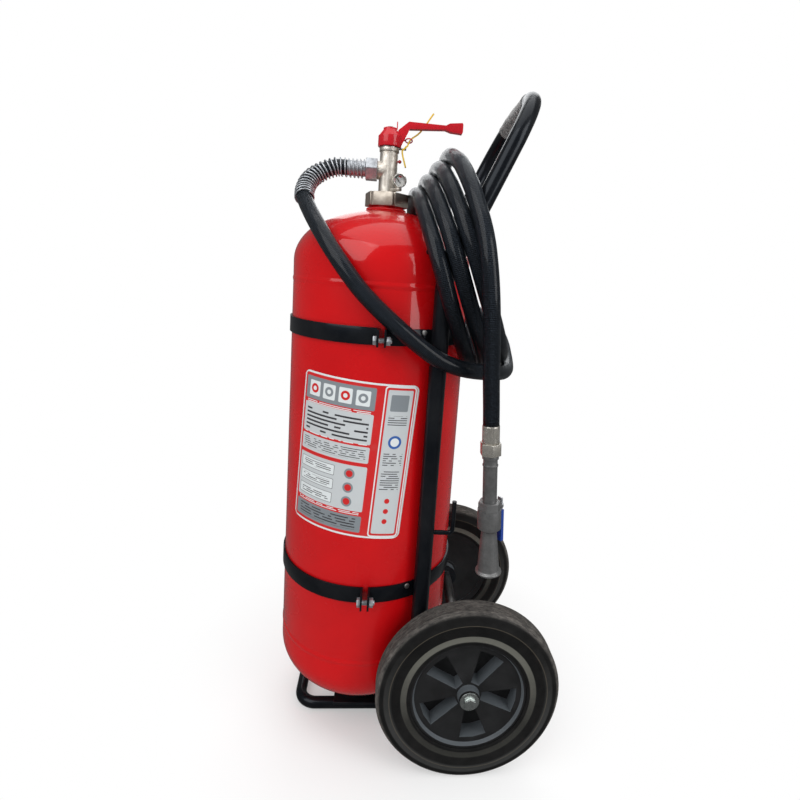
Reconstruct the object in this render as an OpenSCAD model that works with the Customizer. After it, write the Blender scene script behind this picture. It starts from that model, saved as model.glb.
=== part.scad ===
// Wheeled fire extinguisher: a pressure tank on a two-wheeled tube frame,
// with a quarter-turn valve, a coiled discharge hose and a shut-off nozzle.
// Millimetres. The tank stands on the Z axis, the ground is Z = 0,
// the handle leans to +Y and the wheel axle runs along X.

/* [Tank] */
// Outer radius of the tank
tank_r = 150; // [148:0.5:151]
// Thickness of the tank's wall
tank_wall = 3; // [2:0.5:4]
// Height of the lower head seam
shell_low = 141; // [139:1:143]
// Height of the upper head seam
shell_high = 820; // [818:1:822]
// Depth of each domed head
head_depth = 93; // [90:1:95]
// Width of the printed film, straight across
label_w = 180.8; // [176:0.1:184]
// Height of the printed film
label_h = 250; // [244:1:256]
// Height of the film's middle
label_mid = 521.3; // [518:0.1:525]

/* [Frame] */
// Outside diameter of the rails and the handle
tube_d = 26.9; // [25:0.1:27]
// Wall of the rails and the handle
tube_wall = 2.6; // [2:0.1:3.5]
// Angle of each rail round the tank, from its side towards the back, in degrees
rail_turn = 34.47; // [33.5:0.01:35.5]
// Lean of the handle from upright, in degrees
handle_tilt = 23.5; // [22:0.5:25]
// Straight length of the handle's legs above the bend
handle_leg = 215; // [205:5:225]
// Bend radius of the handle's corners
handle_corner = 98; // [92:1:104]
// Angle round the handle's far corner at which the clear film begins
wrap_from = 60; // [50:5:70]
// Bend radius where the handle leaves the rails
heel_r = 80; // [70:5:90]
// Width of each clamp band
band_w = 26; // [20:1:30]
// Thickness of each clamp band
band_t = 3; // [2:0.5:3]
// Height of the upper clamp band
band_high = 714.8; // [712:0.1:717]
// Height of the lower clamp band
band_low = 296.4; // [290:0.1:300]

/* [Foot] */
// Outside diameter of the foot loop's tube
foot_d = 20; // [18:1:22]
// Distance between the foot loop's side bars
foot_w = 108; // [100:1:116]
// Distance of the foot loop's front bar from the tank's axis
foot_front = 109; // [105:1:115]
// Bend radius of the foot loop
foot_bend = 30; // [26:1:34]
// Diameter of the ring that carries the tank
seat_d = 120; // [110:1:124]

/* [Wheels] */
// Diameter of each tyre
wheel_d = 298; // [290:1:300]
// Width of each tyre
tyre_w = 42; // [38:1:44]
// Distance of each tyre's middle outside its rail
wheel_out = 37.2; // [37:0.1:40]
// Distance of the axle behind the rails
axle_back = 82.7; // [80:0.1:85]
// Diameter of the axle
axle_d = 20; // [18:1:22]
// Radius of the tyre's inner edge
rim_r = 94; // [90:1:98]
// Width of each spoke at the hub
spoke_in_w = 13.5; // [10:0.5:16]
// Width of each spoke at the rim
spoke_out_w = 54; // [48:1:60]
// Thickness of the web that closes the windows at the back
web_t = 3; // [2:0.5:4]
// Number of spokes
spokes = 5; // [4:1:6]

/* [Valve] */
// Diameter of the valve body
body_d = 30.4; // [30:0.2:31]
// Width across the flats of the union nut
union_af = 66; // [65:1:70]
// Width across the flats of the outlet nut
outlet_af = 34; // [33:1:36]
// Reach of the valve lever from its axis
lever_reach = 121; // [115:1:125]
// Diameter of the pressure gauge
gauge_d = 23; // [22:0.5:24]

/* [Hose] */
// Outside diameter of the hose
hose_d = 25; // [24:0.1:25]
// Diameter of the guard spring's wire
spring_wire = 2.6; // [2.2:0.1:2.8]
// Number of turns of the guard spring
spring_turns = 22; // [18:1:24]

/* [Nozzle] */
// Outside diameter of the nozzle pipe
pipe_d = 22; // [20:0.5:23]
// Diameter of the nozzle's mouth
mouth_d = 41; // [38:1:44]
// Turn of the shut-off lever round the pipe, in degrees
lever_turn = 35; // [30:1:40]
// Diameter of the shut-off ball
ball_d = 16; // [15:0.5:16.5]

/* [Fits] */
// Radial clearance of parts that turn or slide
run_gap = 0.05; // [0.03:0.01:0.08]
// Gap where two still parts meet
seat_gap = 0.05; // [0.03:0.01:0.1]

/* [Hidden] */
$fn = 64;

tube_r = tube_d / 2;
tube_in = tube_r - tube_wall;
band_r = tank_r + seat_gap + band_t;
rail_off = band_r + seat_gap + tube_r;
rail_x = rail_off * cos(rail_turn);
rail_y = rail_off * sin(rail_turn);
wheel_x = rail_x + wheel_out;
axle_y = rail_y + axle_back;
heel_z = shell_high - 14;
heel_len = heel_r * tan(handle_tilt / 2);
bow_half = rail_x - handle_corner;
top_z = shell_high + head_depth;
vz = top_z + 17;
neck_r = 30;
neck_in = 21;
body_r = body_d / 2;
plug_r = 9.5;
port_r = 6;
gland_r = 12;
stem_r = 5;
cap_r = 19.75;
out_z = vz + 48;
hose_r = hose_d / 2;
ferrule_r = hose_r;
gauge_r = gauge_d / 2;
gauge_at = [24, 19, vz + 18.4 + gauge_r];
gauge_turn = 18;
wheel_r = wheel_d / 2;
axle_r = axle_d / 2;
hub_in = wheel_x - 29;
hub_out = wheel_x + 24.5;
base_z = foot_d + seat_gap;
plate_t = 4;
pan_drop = 3;
rail_foot = base_z + plate_t;
seat_r = seat_d / 2;
seat_in = seat_r - 4;

function dome_low(r) = shell_low - head_depth * sqrt(1 - r * r / (tank_r * tank_r));
function unit(v) = v / norm(v);
function square_to(u, t) = unit(u - (u * t) * t);
// side directions carried along a run of headings without twist
function carry(dirs, u0) =
  [for (i = 0, u = square_to(u0, dirs[0]); i < len(dirs);
    i = i + 1, u = square_to(u, dirs[min(i, len(dirs) - 1)])) u];
function headings(p, first, last) =
  [for (i = [0 : len(p) - 1])
    i == 0 ? first : i == len(p) - 1 ? last : unit(p[i + 1] - p[i - 1])];
// point between two stops of a route, passing smoothly through every stop
function between(p, i, t) =
  let (b = p[i], c = p[i + 1], n = len(p) - 1,
    a = i > 0 ? p[i - 1] : 2 * b - c,
    d = i + 2 <= n ? p[i + 2] : 2 * c - b)
  b + 0.5 * t * (c - a) + t * t * (a - 2.5 * b + 2 * c - 0.5 * d)
    + t * t * t * (-0.5 * a + 1.5 * b - 1.5 * c + 0.5 * d);
function route(p, k) =
  concat([for (i = [0 : len(p) - 2]) for (j = [0 : k - 1]) between(p, i, j / k)],
    [p[len(p) - 1]]);
function tube_faces(rings, n) = concat(
  [for (i = [0 : rings - 2]) for (j = [0 : n - 1])
    [i * n + j, (i + 1) * n + (j + 1) % n, i * n + (j + 1) % n]],
  [for (i = [0 : rings - 2]) for (j = [0 : n - 1])
    [i * n + j, (i + 1) * n + j, (i + 1) * n + (j + 1) % n]],
  [for (j = [1 : n - 2]) [0, j, j + 1]],
  [for (j = [1 : n - 2]) [(rings - 1) * n, (rings - 1) * n + j + 1, (rings - 1) * n + j]]);

module tube_along(path, dirs, r, n, u0) {
  us = carry(dirs, u0);
  pts = [for (i = [0 : len(path) - 1]) let (v = cross(dirs[i], us[i]))
    for (j = [0 : n - 1]) path[i] + r * (cos(360 * j / n) * us[i] + sin(360 * j / n) * v)];
  polyhedron(points = pts, faces = tube_faces(len(path), n), convexity = 20);
}

module rod_x(x0, x1, y, z, r) translate([x0, y, z]) rotate([0, 90, 0]) cylinder(h = x1 - x0, r = r);
module rod_y(y0, y1, x, z, r) translate([x, y0, z]) rotate([-90, 0, 0]) cylinder(h = y1 - y0, r = r);
module rod_z(z0, z1, x, y, r) translate([x, y, z0]) cylinder(h = z1 - z0, r = r);
module hex_z(z0, z1, af) translate([0, 0, z0]) cylinder(h = z1 - z0, r = af / 2 / cos(30), $fn = 6);
// hexagon with its outer corners turned off at both ends
module nut_z(z0, z1, af, trim = 1.6) {
  r = af / 2 / cos(30);
  intersection() {
    hex_z(z0, z1, af);
    rotate_extrude() polygon([[0, z0], [r - trim, z0], [r + 0.1, z0 + 0.6 * trim],
      [r + 0.1, z1 - 0.6 * trim], [r - trim, z1], [0, z1]]);
  }
}
// local Z turned to point along -Y from the outlet's middle
module outlet_frame() translate([0, 0, out_z]) rotate([90, 0, 0]) children();
module gauge_frame() translate(gauge_at) rotate([0, 0, gauge_turn]) rotate([0, 90, 0]) children();
module both_sides() {
  children();
  mirror([1, 0, 0]) children();
}

// ---- tank ----
module vessel(r, depth) {
  low = [for (t = [-90 : 5 : 0]) [r * cos(t), shell_low + depth * sin(t)]];
  high = [for (t = [0 : 5 : 90]) [r * cos(t), shell_high + depth * sin(t)]];
  rotate_extrude() polygon(concat(low, high));
}
module tank() color("#c01018") difference() {
  vessel(tank_r, head_depth);
  vessel(tank_r - tank_wall, head_depth - tank_wall);
  rod_z(shell_high, top_z + 10, 0, 0, neck_r + seat_gap);
}
module neck_ring() color("#c01018") difference() {
  rod_z(vz - 33, vz, 0, 0, neck_r);
  rod_z(vz - 34, vz + 1, 0, 0, neck_in);
}
module neck_gasket() color("#202020") difference() {
  rod_z(vz + seat_gap, vz + 2 - seat_gap, 0, 0, neck_r - 2);
  rod_z(vz - 1, vz + 3, 0, 0, neck_in);
}
module dip_tube() color("#b0b4b8") difference() {
  rod_z(shell_low - head_depth + 15, vz + 12, 0, 0, 7);
  rod_z(shell_low - head_depth + 10, vz + 13, 0, 0, port_r);
}
module label() color("#d8d8d8") intersection() {
  difference() {
    rod_z(label_mid - label_h, label_mid + label_h, 0, 0, tank_r + seat_gap + 0.35);
    rod_z(label_mid - label_h - 1, label_mid + label_h + 1, 0, 0, tank_r + seat_gap);
  }
  rotate([0, 0, -13.5]) translate([tank_r * 0.5, 0, label_mid]) rotate([-3.7, 0, 0])
    translate([0, -label_w / 2, -label_h / 2]) cube([tank_r, label_w, label_h]);
}

// ---- valve ----
module valve_body() color("#b8a890") difference() {
  union() {
    rod_z(vz + 2, vz + 6, 0, 0, neck_r - 2);
    rod_z(vz + 5, vz + 77.4, 0, 0, body_r);
    rod_z(vz + 77, vz + 79, 0, 0, body_r - 1);
    rod_z(vz + 78.4, vz + 84, 0, 0, body_r + 1.4);
    outlet_frame() cylinder(h = 18.5, r = 15);
    outlet_frame() cylinder(h = 31.9, r = 10.5);
    rotate([0, 0, atan2(gauge_at[1], gauge_at[0])]) {
      translate([body_r - 4, -4.5, vz + 13.7])
        cube([norm([gauge_at[0], gauge_at[1]]) - body_r + 4, 9, 4.6]);
      rod_z(vz + 13.7, vz + 18.3, norm([gauge_at[0], gauge_at[1]]), 0, 5);
    }
  }
  rod_z(vz + 1, vz + 12 + seat_gap, 0, 0, 7 + seat_gap);
  rod_z(vz + 11, vz + 37, 0, 0, port_r);
  rod_z(vz + 36, vz + 70, 0, 0, plug_r + run_gap);
  rod_z(vz + 70, vz + 85, 0, 0, gland_r + seat_gap);
  outlet_frame() cylinder(h = 40, r = port_r);
  rod_y(12.3, 20, 0, vz + 64.5, 1.5 + seat_gap);
  rod_z(vz + 14.8, vz + 19, gauge_at[0], gauge_at[1], 2.5 + seat_gap);
}
module union_nut() color("#a89880") difference() {
  rotate([0, 0, 15]) nut_z(vz - 12, vz + 10, union_af, 1.2);
  rod_z(vz - 13, vz + 6 + seat_gap, 0, 0, neck_r + seat_gap);
  rod_z(vz + 5, vz + 11, 0, 0, body_r + 0.2);
  for (k = [0 : 5]) rotate([0, 0, 15 + 60 * k])
    translate([union_af / 2 / cos(30) - 2.2, 0, vz - 13]) rotate([0, 0, 45])
      cube([4, 4, 25]);
}
module valve_plug() color("#c8b060") difference() {
  union() {
    rod_z(vz + 36.2, vz + 62, 0, 0, plug_r);
    rod_z(vz + 61, vz + 113.4, 0, 0, stem_r);
    rod_z(vz + 113, vz + 117.5, 0, 0, 4);
  }
  rod_z(vz + 35, vz + 48, 0, 0, port_r);
  rod_x(0, plug_r + 1, 0, out_z, port_r);
}
module gland_nut() color("#b8a890") difference() {
  union() {
    rod_z(vz + 62.3, vz + 70.5, 0, 0, plug_r - 0.1);
    rod_z(vz + 70 + seat_gap, vz + 100.8, 0, 0, gland_r);
  }
  rod_z(vz + 60, vz + 102, 0, 0, stem_r + run_gap);
}
module stop_plate() color("#808890") difference() {
  union() {
    rod_z(vz + 84 + seat_gap, vz + 85.6, 0, 0, 16);
    translate([-4, 10, vz + 84 + seat_gap]) cube([8, 18, 1.55]);
    translate([-4, 26.2, vz + 84.5]) cube([8, 1.8, 5.5]);
  }
  rod_z(vz + 83, vz + 87, 0, 0, gland_r + seat_gap);
}
module valve_lever() color("#c01018") difference() {
  union() {
    rotate_extrude() polygon([[0, vz + 86.2], [cap_r - 0.4, vz + 86.2], [cap_r, vz + 87.5],
      [cap_r, vz + 103], [12.4, vz + 113.2], [12, vz + 114], [12, vz + 116],
      [11.4, vz + 116.6], [0, vz + 116.6]]);
    translate([-6, 0, 0]) rotate([90, 0, 90]) linear_extrude(height = 12)
      polygon([[13, vz + 92], [19.7, vz + 90], [32, vz + 117.2], [91.3, vz + 121.4],
        [100.5, vz + 118.5], [lever_reach - 1, vz + 117.3], [lever_reach, vz + 120],
        [lever_reach, vz + 132], [lever_reach - 1.5, vz + 134.5], [98.3, vz + 131.9],
        [92, vz + 128.1], [30, vz + 128.6], [13, vz + 113.8]]);
    rod_z(vz + 110, vz + 128, 0, 11, 0.9);
  }
  rod_z(vz + 85, vz + 101.3, 0, 0, gland_r + 0.5);
  rod_z(vz + 100, vz + 118, 0, 0, stem_r + seat_gap);
  rod_z(vz + 113.5, vz + 118, 0, 0, 9);
  rod_y(10, 40, 0, vz + 99.5, 1.5 + run_gap);
}
module stem_nut() color("#181818") difference() {
  rotate_extrude() polygon([[0, vz + 113.6], [8.8, vz + 113.6], [8.8, vz + 116.4],
    [6, vz + 118.6], [0, vz + 119]]);
  rod_z(vz + 112, vz + 117.6, 0, 0, 4 + seat_gap);
}
pin_ring_y = 31.6;
module safety_pin() color("#b01020") union() {
  rod_y(gland_r + 0.9, pin_ring_y - 6.2, 0, vz + 99.5, 1.5);
  translate([0, pin_ring_y, vz + 99.5]) rotate([0, -25, 0])
    rotate_extrude() translate([5.6, 0]) circle(r = 1.1);
}
module seal_strap() color("#d8a818") {
  stops = [[-9, 71, vz + 149], [-7.5, 51, vz + 118], [-2.6, 36, vz + 103.5],
    [0, 31.4, vz + 95.5], [4.6, 29.5, vz + 90], [6.4, 24.5, vz + 84.5], [6.6, 21.5, vz + 78.5],
    [8, 28.5, vz + 54]];
  p = route(stops, 2);
  tube_along(p, headings(p, unit(p[1] - p[0]), unit(p[len(p) - 1] - p[len(p) - 2])), 0.8, 6, [1, 0, 0]);
}
module bleed_plug() color("#c01018") union() {
  translate([0, body_r + 3.2, vz + 64.5]) sphere(r = 3);
  rod_y(12.4, body_r + 1, 0, vz + 64.5, 1.5);
}

// ---- gauge ----
module gauge_case() color("#b0b0b0") difference() {
  union() {
    gauge_frame() translate([0, 0, -4.5]) cylinder(h = 9, r = gauge_r);
    rod_z(vz + 15, gauge_at[2] - gauge_r + 1, gauge_at[0], gauge_at[1], 2.5);
  }
  gauge_frame() translate([0, 0, -2.5]) cylinder(h = 8, r = gauge_r - 1.5);
}
module gauge_dial() color("#f0f0f0") gauge_frame() difference() {
  translate([0, 0, -2.5 + seat_gap]) cylinder(h = 0.6, r = gauge_r - 1.6);
  translate([0, 0, -3]) cylinder(h = 3, r = 0.8 + run_gap);
}
module gauge_needle() color("#101010") gauge_frame() union() {
  translate([0, 0, -2.3]) cylinder(h = 1.9, r = 0.8);
  translate([0, 0, -1.3]) linear_extrude(height = 0.5)
    rotate([0, 0, 130]) polygon([[-0.7, -5], [0.7, -5], [0.5, 0], [0.2, 8.6], [-0.2, 8.6], [-0.5, 0]]);
}
module gauge_lens() color("#e0f0ff") gauge_frame()
  translate([0, 0, 2.2]) cylinder(h = 1.6, r = gauge_r - 1.5 - seat_gap);

// ---- outlet and hose ----
module outlet_nut() color("#b0b6bc") difference() {
  outlet_frame() nut_z(18.6, 37.5, outlet_af, 1);
  outlet_frame() translate([0, 0, 18]) cylinder(h = 18.2, r = 10.5 + seat_gap);
  outlet_frame() translate([0, 0, 36]) cylinder(h = 3, r = 8 + seat_gap);
}
module outlet_ferrule() color("#b0b6bc") difference() {
  outlet_frame() union() {
    translate([0, 0, 32]) cylinder(h = 4, r = 10);
    translate([0, 0, 35]) cylinder(h = 4, r = 8);
    translate([0, 0, 38]) cylinder(h = 30, r = ferrule_r);
  }
  outlet_frame() translate([0, 0, 31]) cylinder(h = 38, r = port_r);
}

// stops of the free hose from the ferrule round the tank to the coil
lead_stops = [[0, -68, out_z], [0, -84, out_z], [2, -99, vz + 43], [5, -113, vz + 35],
  [12, -124, vz + 25], [21, -130, vz + 14], [32, -132, vz + 2], [44, -131, vz - 8],
  [56, -127, vz - 18], [86, -113, vz - 39], [115, -97, vz - 61], [139, -78, vz - 87],
  [155, -56, vz - 115], [163, -31, vz - 145], [167, -4, vz - 171], [170, 25, vz - 195],
  [169, 57, vz - 220], [165, 92, vz - 243], [154, 128, vz - 256], [134, 161, vz - 263],
  [106, 188, vz - 268], [73, 210, vz - 273], [36, 225, vz - 274], [-2, 234, vz - 270],
  [-39, 239, vz - 259], [-75, 241, vz - 243], [-111, 237, vz - 225], [-144, 224, vz - 209],
  [-173, 203, vz - 191], [-193, 174, vz - 173], [-204, 141, vz - 154], [-202, 109, vz - 131],
  [-188, 82, vz - 105], [-165, 64, vz - 78], [-137, 56, vz - 52]];

// the coil hangs round both legs of the handle: a turn is 360
coil_start = -40;
coil_end = 1100;
coil_steps = 76;
function coil(t) = let (u = t / 360, c = cos(t), up = max(0, c), dn = max(0, -c))
  [(rail_x + 28.7 + 4 * u) * sin(t),
    89 + 21 * u - (157 + 5 * u) * c * sin(17 + u) + 16 * pow(dn, 2) + 5 * pow(up, 4),
    vz - 139.5 + 18 * u + (157 + 5 * u) * c * cos(17 + u)];
function coil_dir(t) = unit(coil(t + 1) - coil(t - 1));
coil_t = [for (i = [0 : coil_steps]) coil_start + (coil_end - coil_start) * i / coil_steps];
coil_path = [for (t = coil_t) coil(t)];
coil_gap = min([for (i = [0 : coil_steps]) for (j = [0 : coil_steps])
  if (coil_t[j] - coil_t[i] > 180) norm(coil_path[j] - coil_path[i])]) - hose_d;
echo(least_gap_of_the_coil_to_itself = coil_gap);

tail_stops = [coil(coil_end), [107, 110, vz + 48], [154, 122, vz + 8], [170.5, 129.5, vz - 18],
  [184, 137, vz - 44], [194.5, 143, vz - 71], [200.5, 148, vz - 101], [202, 153, vz - 134],
  [200, 158, vz - 173], [194, 163, vz - 215], [187, 168, vz - 264], [181, 173, vz - 305],
  [178, 176, vz - 334.4]];

// guard spring: a helix round the first stretch of the hose
spring_stops = concat([[0, -39.1, out_z], [0, -53, out_z]], [for (i = [0 : 9]) lead_stops[i]]);
spring_n = spring_turns * 8;
spring_mid = [for (i = [0 : spring_n]) let (s = i / spring_n * (len(spring_stops) - 2.3),
  k = floor(s)) between(spring_stops, k, s - k)];
spring_dirs = headings(spring_mid, [0, -1, 0], unit(spring_mid[spring_n] - spring_mid[spring_n - 1]));
spring_side = carry(spring_dirs, [1, 0, 0]);
spring_r = (ferrule_r + 0.35 + spring_wire / 2) / cos(22.5);
spring_path = [for (i = [0 : spring_n]) let (a = 45 * i, v = cross(spring_dirs[i], spring_side[i]))
  spring_mid[i] + spring_r * (cos(a) * spring_side[i] + sin(a) * v)];
spring_gap = min([for (i = [0 : spring_n - 5]) for (j = [i + 5 : min(spring_n, i + 12)])
  norm(spring_path[j] - spring_path[i])]) - spring_wire;
echo(least_gap_of_the_spring_to_itself = spring_gap);

module guard_spring() color("#b0b6bc")
  tube_along(spring_path, headings(spring_path, unit(spring_path[1] - spring_path[0]),
    unit(spring_path[spring_n] - spring_path[spring_n - 1])), spring_wire / 2, 6, [0, 0, 1]);
module hose_lead() color("#181818") {
  p = route(concat(lead_stops, [coil(coil_start)]), 2);
  tube_along(p, headings(p, [0, -1, 0], coil_dir(coil_start)), hose_r, 10, [1, 0, 0]);
}
module hose_coil() color("#181818")
  tube_along(coil_path, headings(coil_path, coil_dir(coil_start), coil_dir(coil_end)),
    hose_r, 6, [1, 0, 0]);
module hose_tail() color("#181818") {
  p = route(tail_stops, 2);
  tube_along(p, headings(p, coil_dir(coil_end), nozzle_dir), hose_r, 10, [0, 1, 0]);
}

// ---- nozzle ----
nozzle_top = [178, 176, vz - 334.4];
nozzle_lean = 4;
nozzle_dir = [0, sin(nozzle_lean), -cos(nozzle_lean)];
// local Z runs from the hose end down towards the mouth, local X stays X
module nozzle_frame() translate(nozzle_top) rotate([180 + nozzle_lean, 0, 0]) children();
module turned_frame() nozzle_frame() rotate([0, 0, -lever_turn]) children();
collar_at = 120;
ball_at = 133;
cone_at = 163;
mouth_at = 237;
arm_end = 190;
module nozzle_ferrule() color("#181818") difference() {
  nozzle_frame() union() {
    cylinder(h = 27, r = 13.2);
    translate([0, 0, 27]) cylinder(h = 9, r = 8);
  }
  nozzle_frame() translate([0, 0, -1]) cylinder(h = 40, r = port_r);
}
module nozzle_nut() color("#b0b6bc") difference() {
  nozzle_frame() nut_z(27.2, 46, 29, 1);
  nozzle_frame() translate([0, 0, 20]) cylinder(h = 16.1, r = 8 + seat_gap);
  nozzle_frame() translate([0, 0, 36]) cylinder(h = 12, r = 10 + seat_gap);
}
module nozzle_pipe() color("#a0a4a8") difference() {
  nozzle_frame() union() {
    translate([0, 0, 36.2]) cylinder(h = 12, r = 10);
    translate([0, 0, 46.2]) cylinder(h = 6, r = pipe_d / 2 + 1.6);
    translate([0, 0, 50]) cylinder(h = collar_at - 49, r = pipe_d / 2);
    translate([0, 0, 61]) cylinder(h = 2.5, r = pipe_d / 2 + 1);
  }
  nozzle_frame() translate([0, 0, 30]) cylinder(h = 100, r = 7);
}
module nozzle_body() color("#a0a4a8") turned_frame() difference() {
  union() {
    nut_z(collar_at + 1 + seat_gap, collar_at + 14, 31, 1);
    translate([0, 0, collar_at + 13]) cylinder(h = cone_at - collar_at - 13, r = 18.2);
    translate([0, -10, ball_at]) rotate([90, 0, 0]) cylinder(h = 12, r = 7);
  }
  translate([0, 0, collar_at]) cylinder(h = 20, r = 7);
  translate([0, 0, ball_at - 10.1]) cylinder(h = 50, r = 11 + seat_gap);
  translate([0, 0, ball_at]) rotate([90, 0, 0]) cylinder(h = 40, r = 3 + run_gap);
}
module nozzle_ball() color("#d0d0d4") turned_frame() translate([0, 0, ball_at]) difference() {
  sphere(r = ball_d / 2);
  translate([0, 0, -20]) cylinder(h = 40, r = 5.5);
  rotate([90, 0, 0]) translate([-1.5, -5, ball_d / 2 - 2.5]) cube([3, 10, 6]);
}
module ball_seats() color("#f0f0f0") nozzle_frame() translate([0, 0, ball_at]) difference() {
  for (s = [0, 180]) rotate([s, 0, 0]) translate([0, 0, 5]) cylinder(h = 5, r = 11);
  translate([0, 0, -20]) cylinder(h = 40, r = 5.5);
  sphere(r = ball_d / 2 + run_gap);
}
module nozzle_stem() color("#b0b6bc") turned_frame() translate([0, 0, ball_at]) rotate([90, 0, 0])
  difference() {
    union() {
      translate([0, 0, ball_d / 2 + seat_gap]) cylinder(h = 19, r = 3);
      translate([-1.4, -4, ball_d / 2 - 2.2]) cube([2.8, 8, 3]);
    }
    translate([0, 0, 40]) cylinder(h = 1, r = 1);
  }
module nozzle_lever() color("#b0b6bc") turned_frame() difference() {
  union() {
    translate([0, -22.4, ball_at]) rotate([90, 0, 0]) cylinder(h = 3, r = 6.5);
    translate([-4.5, -25.4, collar_at + 1]) cube([9, 3, arm_end - collar_at - 1]);
  }
  translate([0, -20, ball_at]) rotate([90, 0, 0]) cylinder(h = 8, r = 3 + seat_gap);
}
module lever_sleeve() color("#2060c0") turned_frame() difference() {
  translate([-6, -27, ball_at + 7]) cube([12, 6.2, arm_end - ball_at - 5]);
  translate([-4.5 - seat_gap, -25.4 - seat_gap, ball_at + 6])
    cube([9 + 2 * seat_gap, 3 + 2 * seat_gap, arm_end - ball_at - 6 + seat_gap]);
}
module nozzle_cone() color("#a0a4a8") difference() {
  nozzle_frame() rotate_extrude() polygon([[0, ball_at + 10 + seat_gap], [10.9, ball_at + 10 + seat_gap],
    [10.9, cone_at + seat_gap], [15, cone_at + seat_gap], [15, cone_at + 2], [11.9, cone_at + 5],
    [mouth_d / 2 - 3.5, mouth_at - 5], [mouth_d / 2, mouth_at - 2.5], [mouth_d / 2, mouth_at], [0, mouth_at]]);
  nozzle_frame() rotate_extrude() polygon([[0, ball_at + 9], [5.5, ball_at + 9], [5.5, cone_at + 8],
    [mouth_d / 2 - 5.5, mouth_at + 1], [0, mouth_at + 1]]);
}

// ---- frame ----
module rail() difference() {
  rod_z(rail_foot, heel_z - heel_len, rail_x, rail_y, tube_r);
  rod_z(rail_foot - 1, heel_z, rail_x, rail_y, tube_in);
}
module left_rail() color("#181818") rail();
module right_rail() color("#181818") mirror([1, 0, 0]) rail();

// the bow is drawn upright in its own frame, which then tips back from the rails' tops
module bow_frame() translate([0, rail_y, heel_z]) rotate([-handle_tilt, 0, 0]) children();
module bow_turn(r) translate([bow_half, 0, handle_leg]) rotate([90, 0, 0])
  rotate_extrude(angle = 90) translate([handle_corner, 0]) circle(r = r);
module bow_bar(r) {
  both_sides() {
    translate([rail_x, heel_r, heel_len]) rotate([-90, 0, -90])
      rotate_extrude(angle = handle_tilt) translate([heel_r, 0]) circle(r = r);
    rod_z(heel_len, handle_leg, rail_x, 0, r);
    bow_turn(r);
  }
  rod_x(-bow_half, bow_half, 0, handle_leg + handle_corner, r);
}
module handle_bow() color("#181818") bow_frame() difference() {
  bow_bar(tube_r);
  bow_bar(tube_in);
}
wrap_t = 0.5;
module wrap_bar(r) {
  rod_x(-bow_half, bow_half, 0, handle_leg + handle_corner, r);
  mirror([1, 0, 0]) bow_turn(r);
}
module handle_wrap() color("#909498") bow_frame() difference() {
  wrap_bar(tube_r + seat_gap + wrap_t);
  wrap_bar(tube_r + seat_gap);
  mirror([1, 0, 0]) translate([bow_half, 0, handle_leg]) rotate([0, -wrap_from, 0])
    translate([0, -2 * tube_r, -2 * handle_corner]) cube([2 * handle_corner, 4 * tube_r, 2 * handle_corner]);
}
peg_z = heel_z + 38;
peg_y = rail_y + 38 * tan(handle_tilt);
module hose_pegs() color("#181818") both_sides() difference() {
  union() {
    rod_y(peg_y - 42, peg_y, rail_x, peg_z, 5);
    translate([rail_x, peg_y - 42, peg_z]) sphere(r = 5);
  }
  bow_frame() rod_z(0, 100, rail_x, 0, tube_r + seat_gap);
}
hook_z = 400;
module nozzle_hook() color("#181818") difference() {
  union() {
    rod_y(rail_y, rail_y + 43, rail_x, hook_z, 3.75);
    translate([rail_x, rail_y + 43, hook_z]) sphere(r = 3.75);
    rod_z(hook_z, hook_z + 54, rail_x, rail_y + 43, 3.75);
  }
  rod_z(hook_z - 20, hook_z + 20, rail_x, rail_y, tube_r + seat_gap);
}

// ---- bands ----
ear_gap = 8;
ear_out = 24;
module band(z, y) difference() {
  union() {
    rod_z(z - band_w / 2, z + band_w / 2, 0, 0, band_r);
    for (s = [-1, 1]) translate([tank_r - 2, y + s * (ear_gap + band_t) / 2 - band_t / 2, z - band_w / 2])
      cube([ear_out + 2, band_t, band_w]);
  }
  rod_z(z - band_w, z + band_w, 0, 0, tank_r + seat_gap);
  translate([tank_r - 20, y - ear_gap / 2, z - band_w]) cube([ear_out + 30, ear_gap, 2 * band_w]);
  rod_y(y - 20, y + 20, tank_r + 15, z - 4, 4.3);
  both_sides() rotate([0, 0, rivet_a]) rod_x(tank_r - 2, band_r + 5, 0, z + 8, 2.5 + seat_gap);
}
rivet_a = 27;
ear_y = [5.6, 2.7];
band_z = [band_high, band_low];
module upper_band() color("#181818") band(band_z[0], ear_y[0]);
module lower_band() color("#181818") band(band_z[1], ear_y[1]);
half_grip = ear_gap / 2 + band_t + seat_gap;
module band_bolts() color("#b0b6bc") for (k = [0, 1])
  translate([tank_r + 15, ear_y[k], band_z[k] - 4]) rotate([-90, 0, 0]) union() {
    nut_z(-half_grip - 5.3, -half_grip, 13, 0.8);
    translate([0, 0, -half_grip - 0.5]) cylinder(h = 2 * half_grip + 9, r = 3.95);
  }
module band_nuts() color("#b0b6bc") for (k = [0, 1])
  translate([tank_r + 15, ear_y[k], band_z[k] - 4]) rotate([-90, 0, 0]) difference() {
    nut_z(half_grip, half_grip + 6.5, 13, 0.8);
    translate([0, 0, half_grip - 1]) cylinder(h = 10, r = 4);
  }
module band_rivets() color("#303030") for (k = [0, 1]) both_sides()
  rotate([0, 0, rivet_a]) translate([0, 0, band_z[k] + 8]) union() {
    rod_x(tank_r + 0.3, band_r + 1, 0, 0, 2.5);
    rod_x(band_r + 0.1, band_r + 2.4, 0, 0, 4.5);
  }

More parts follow.
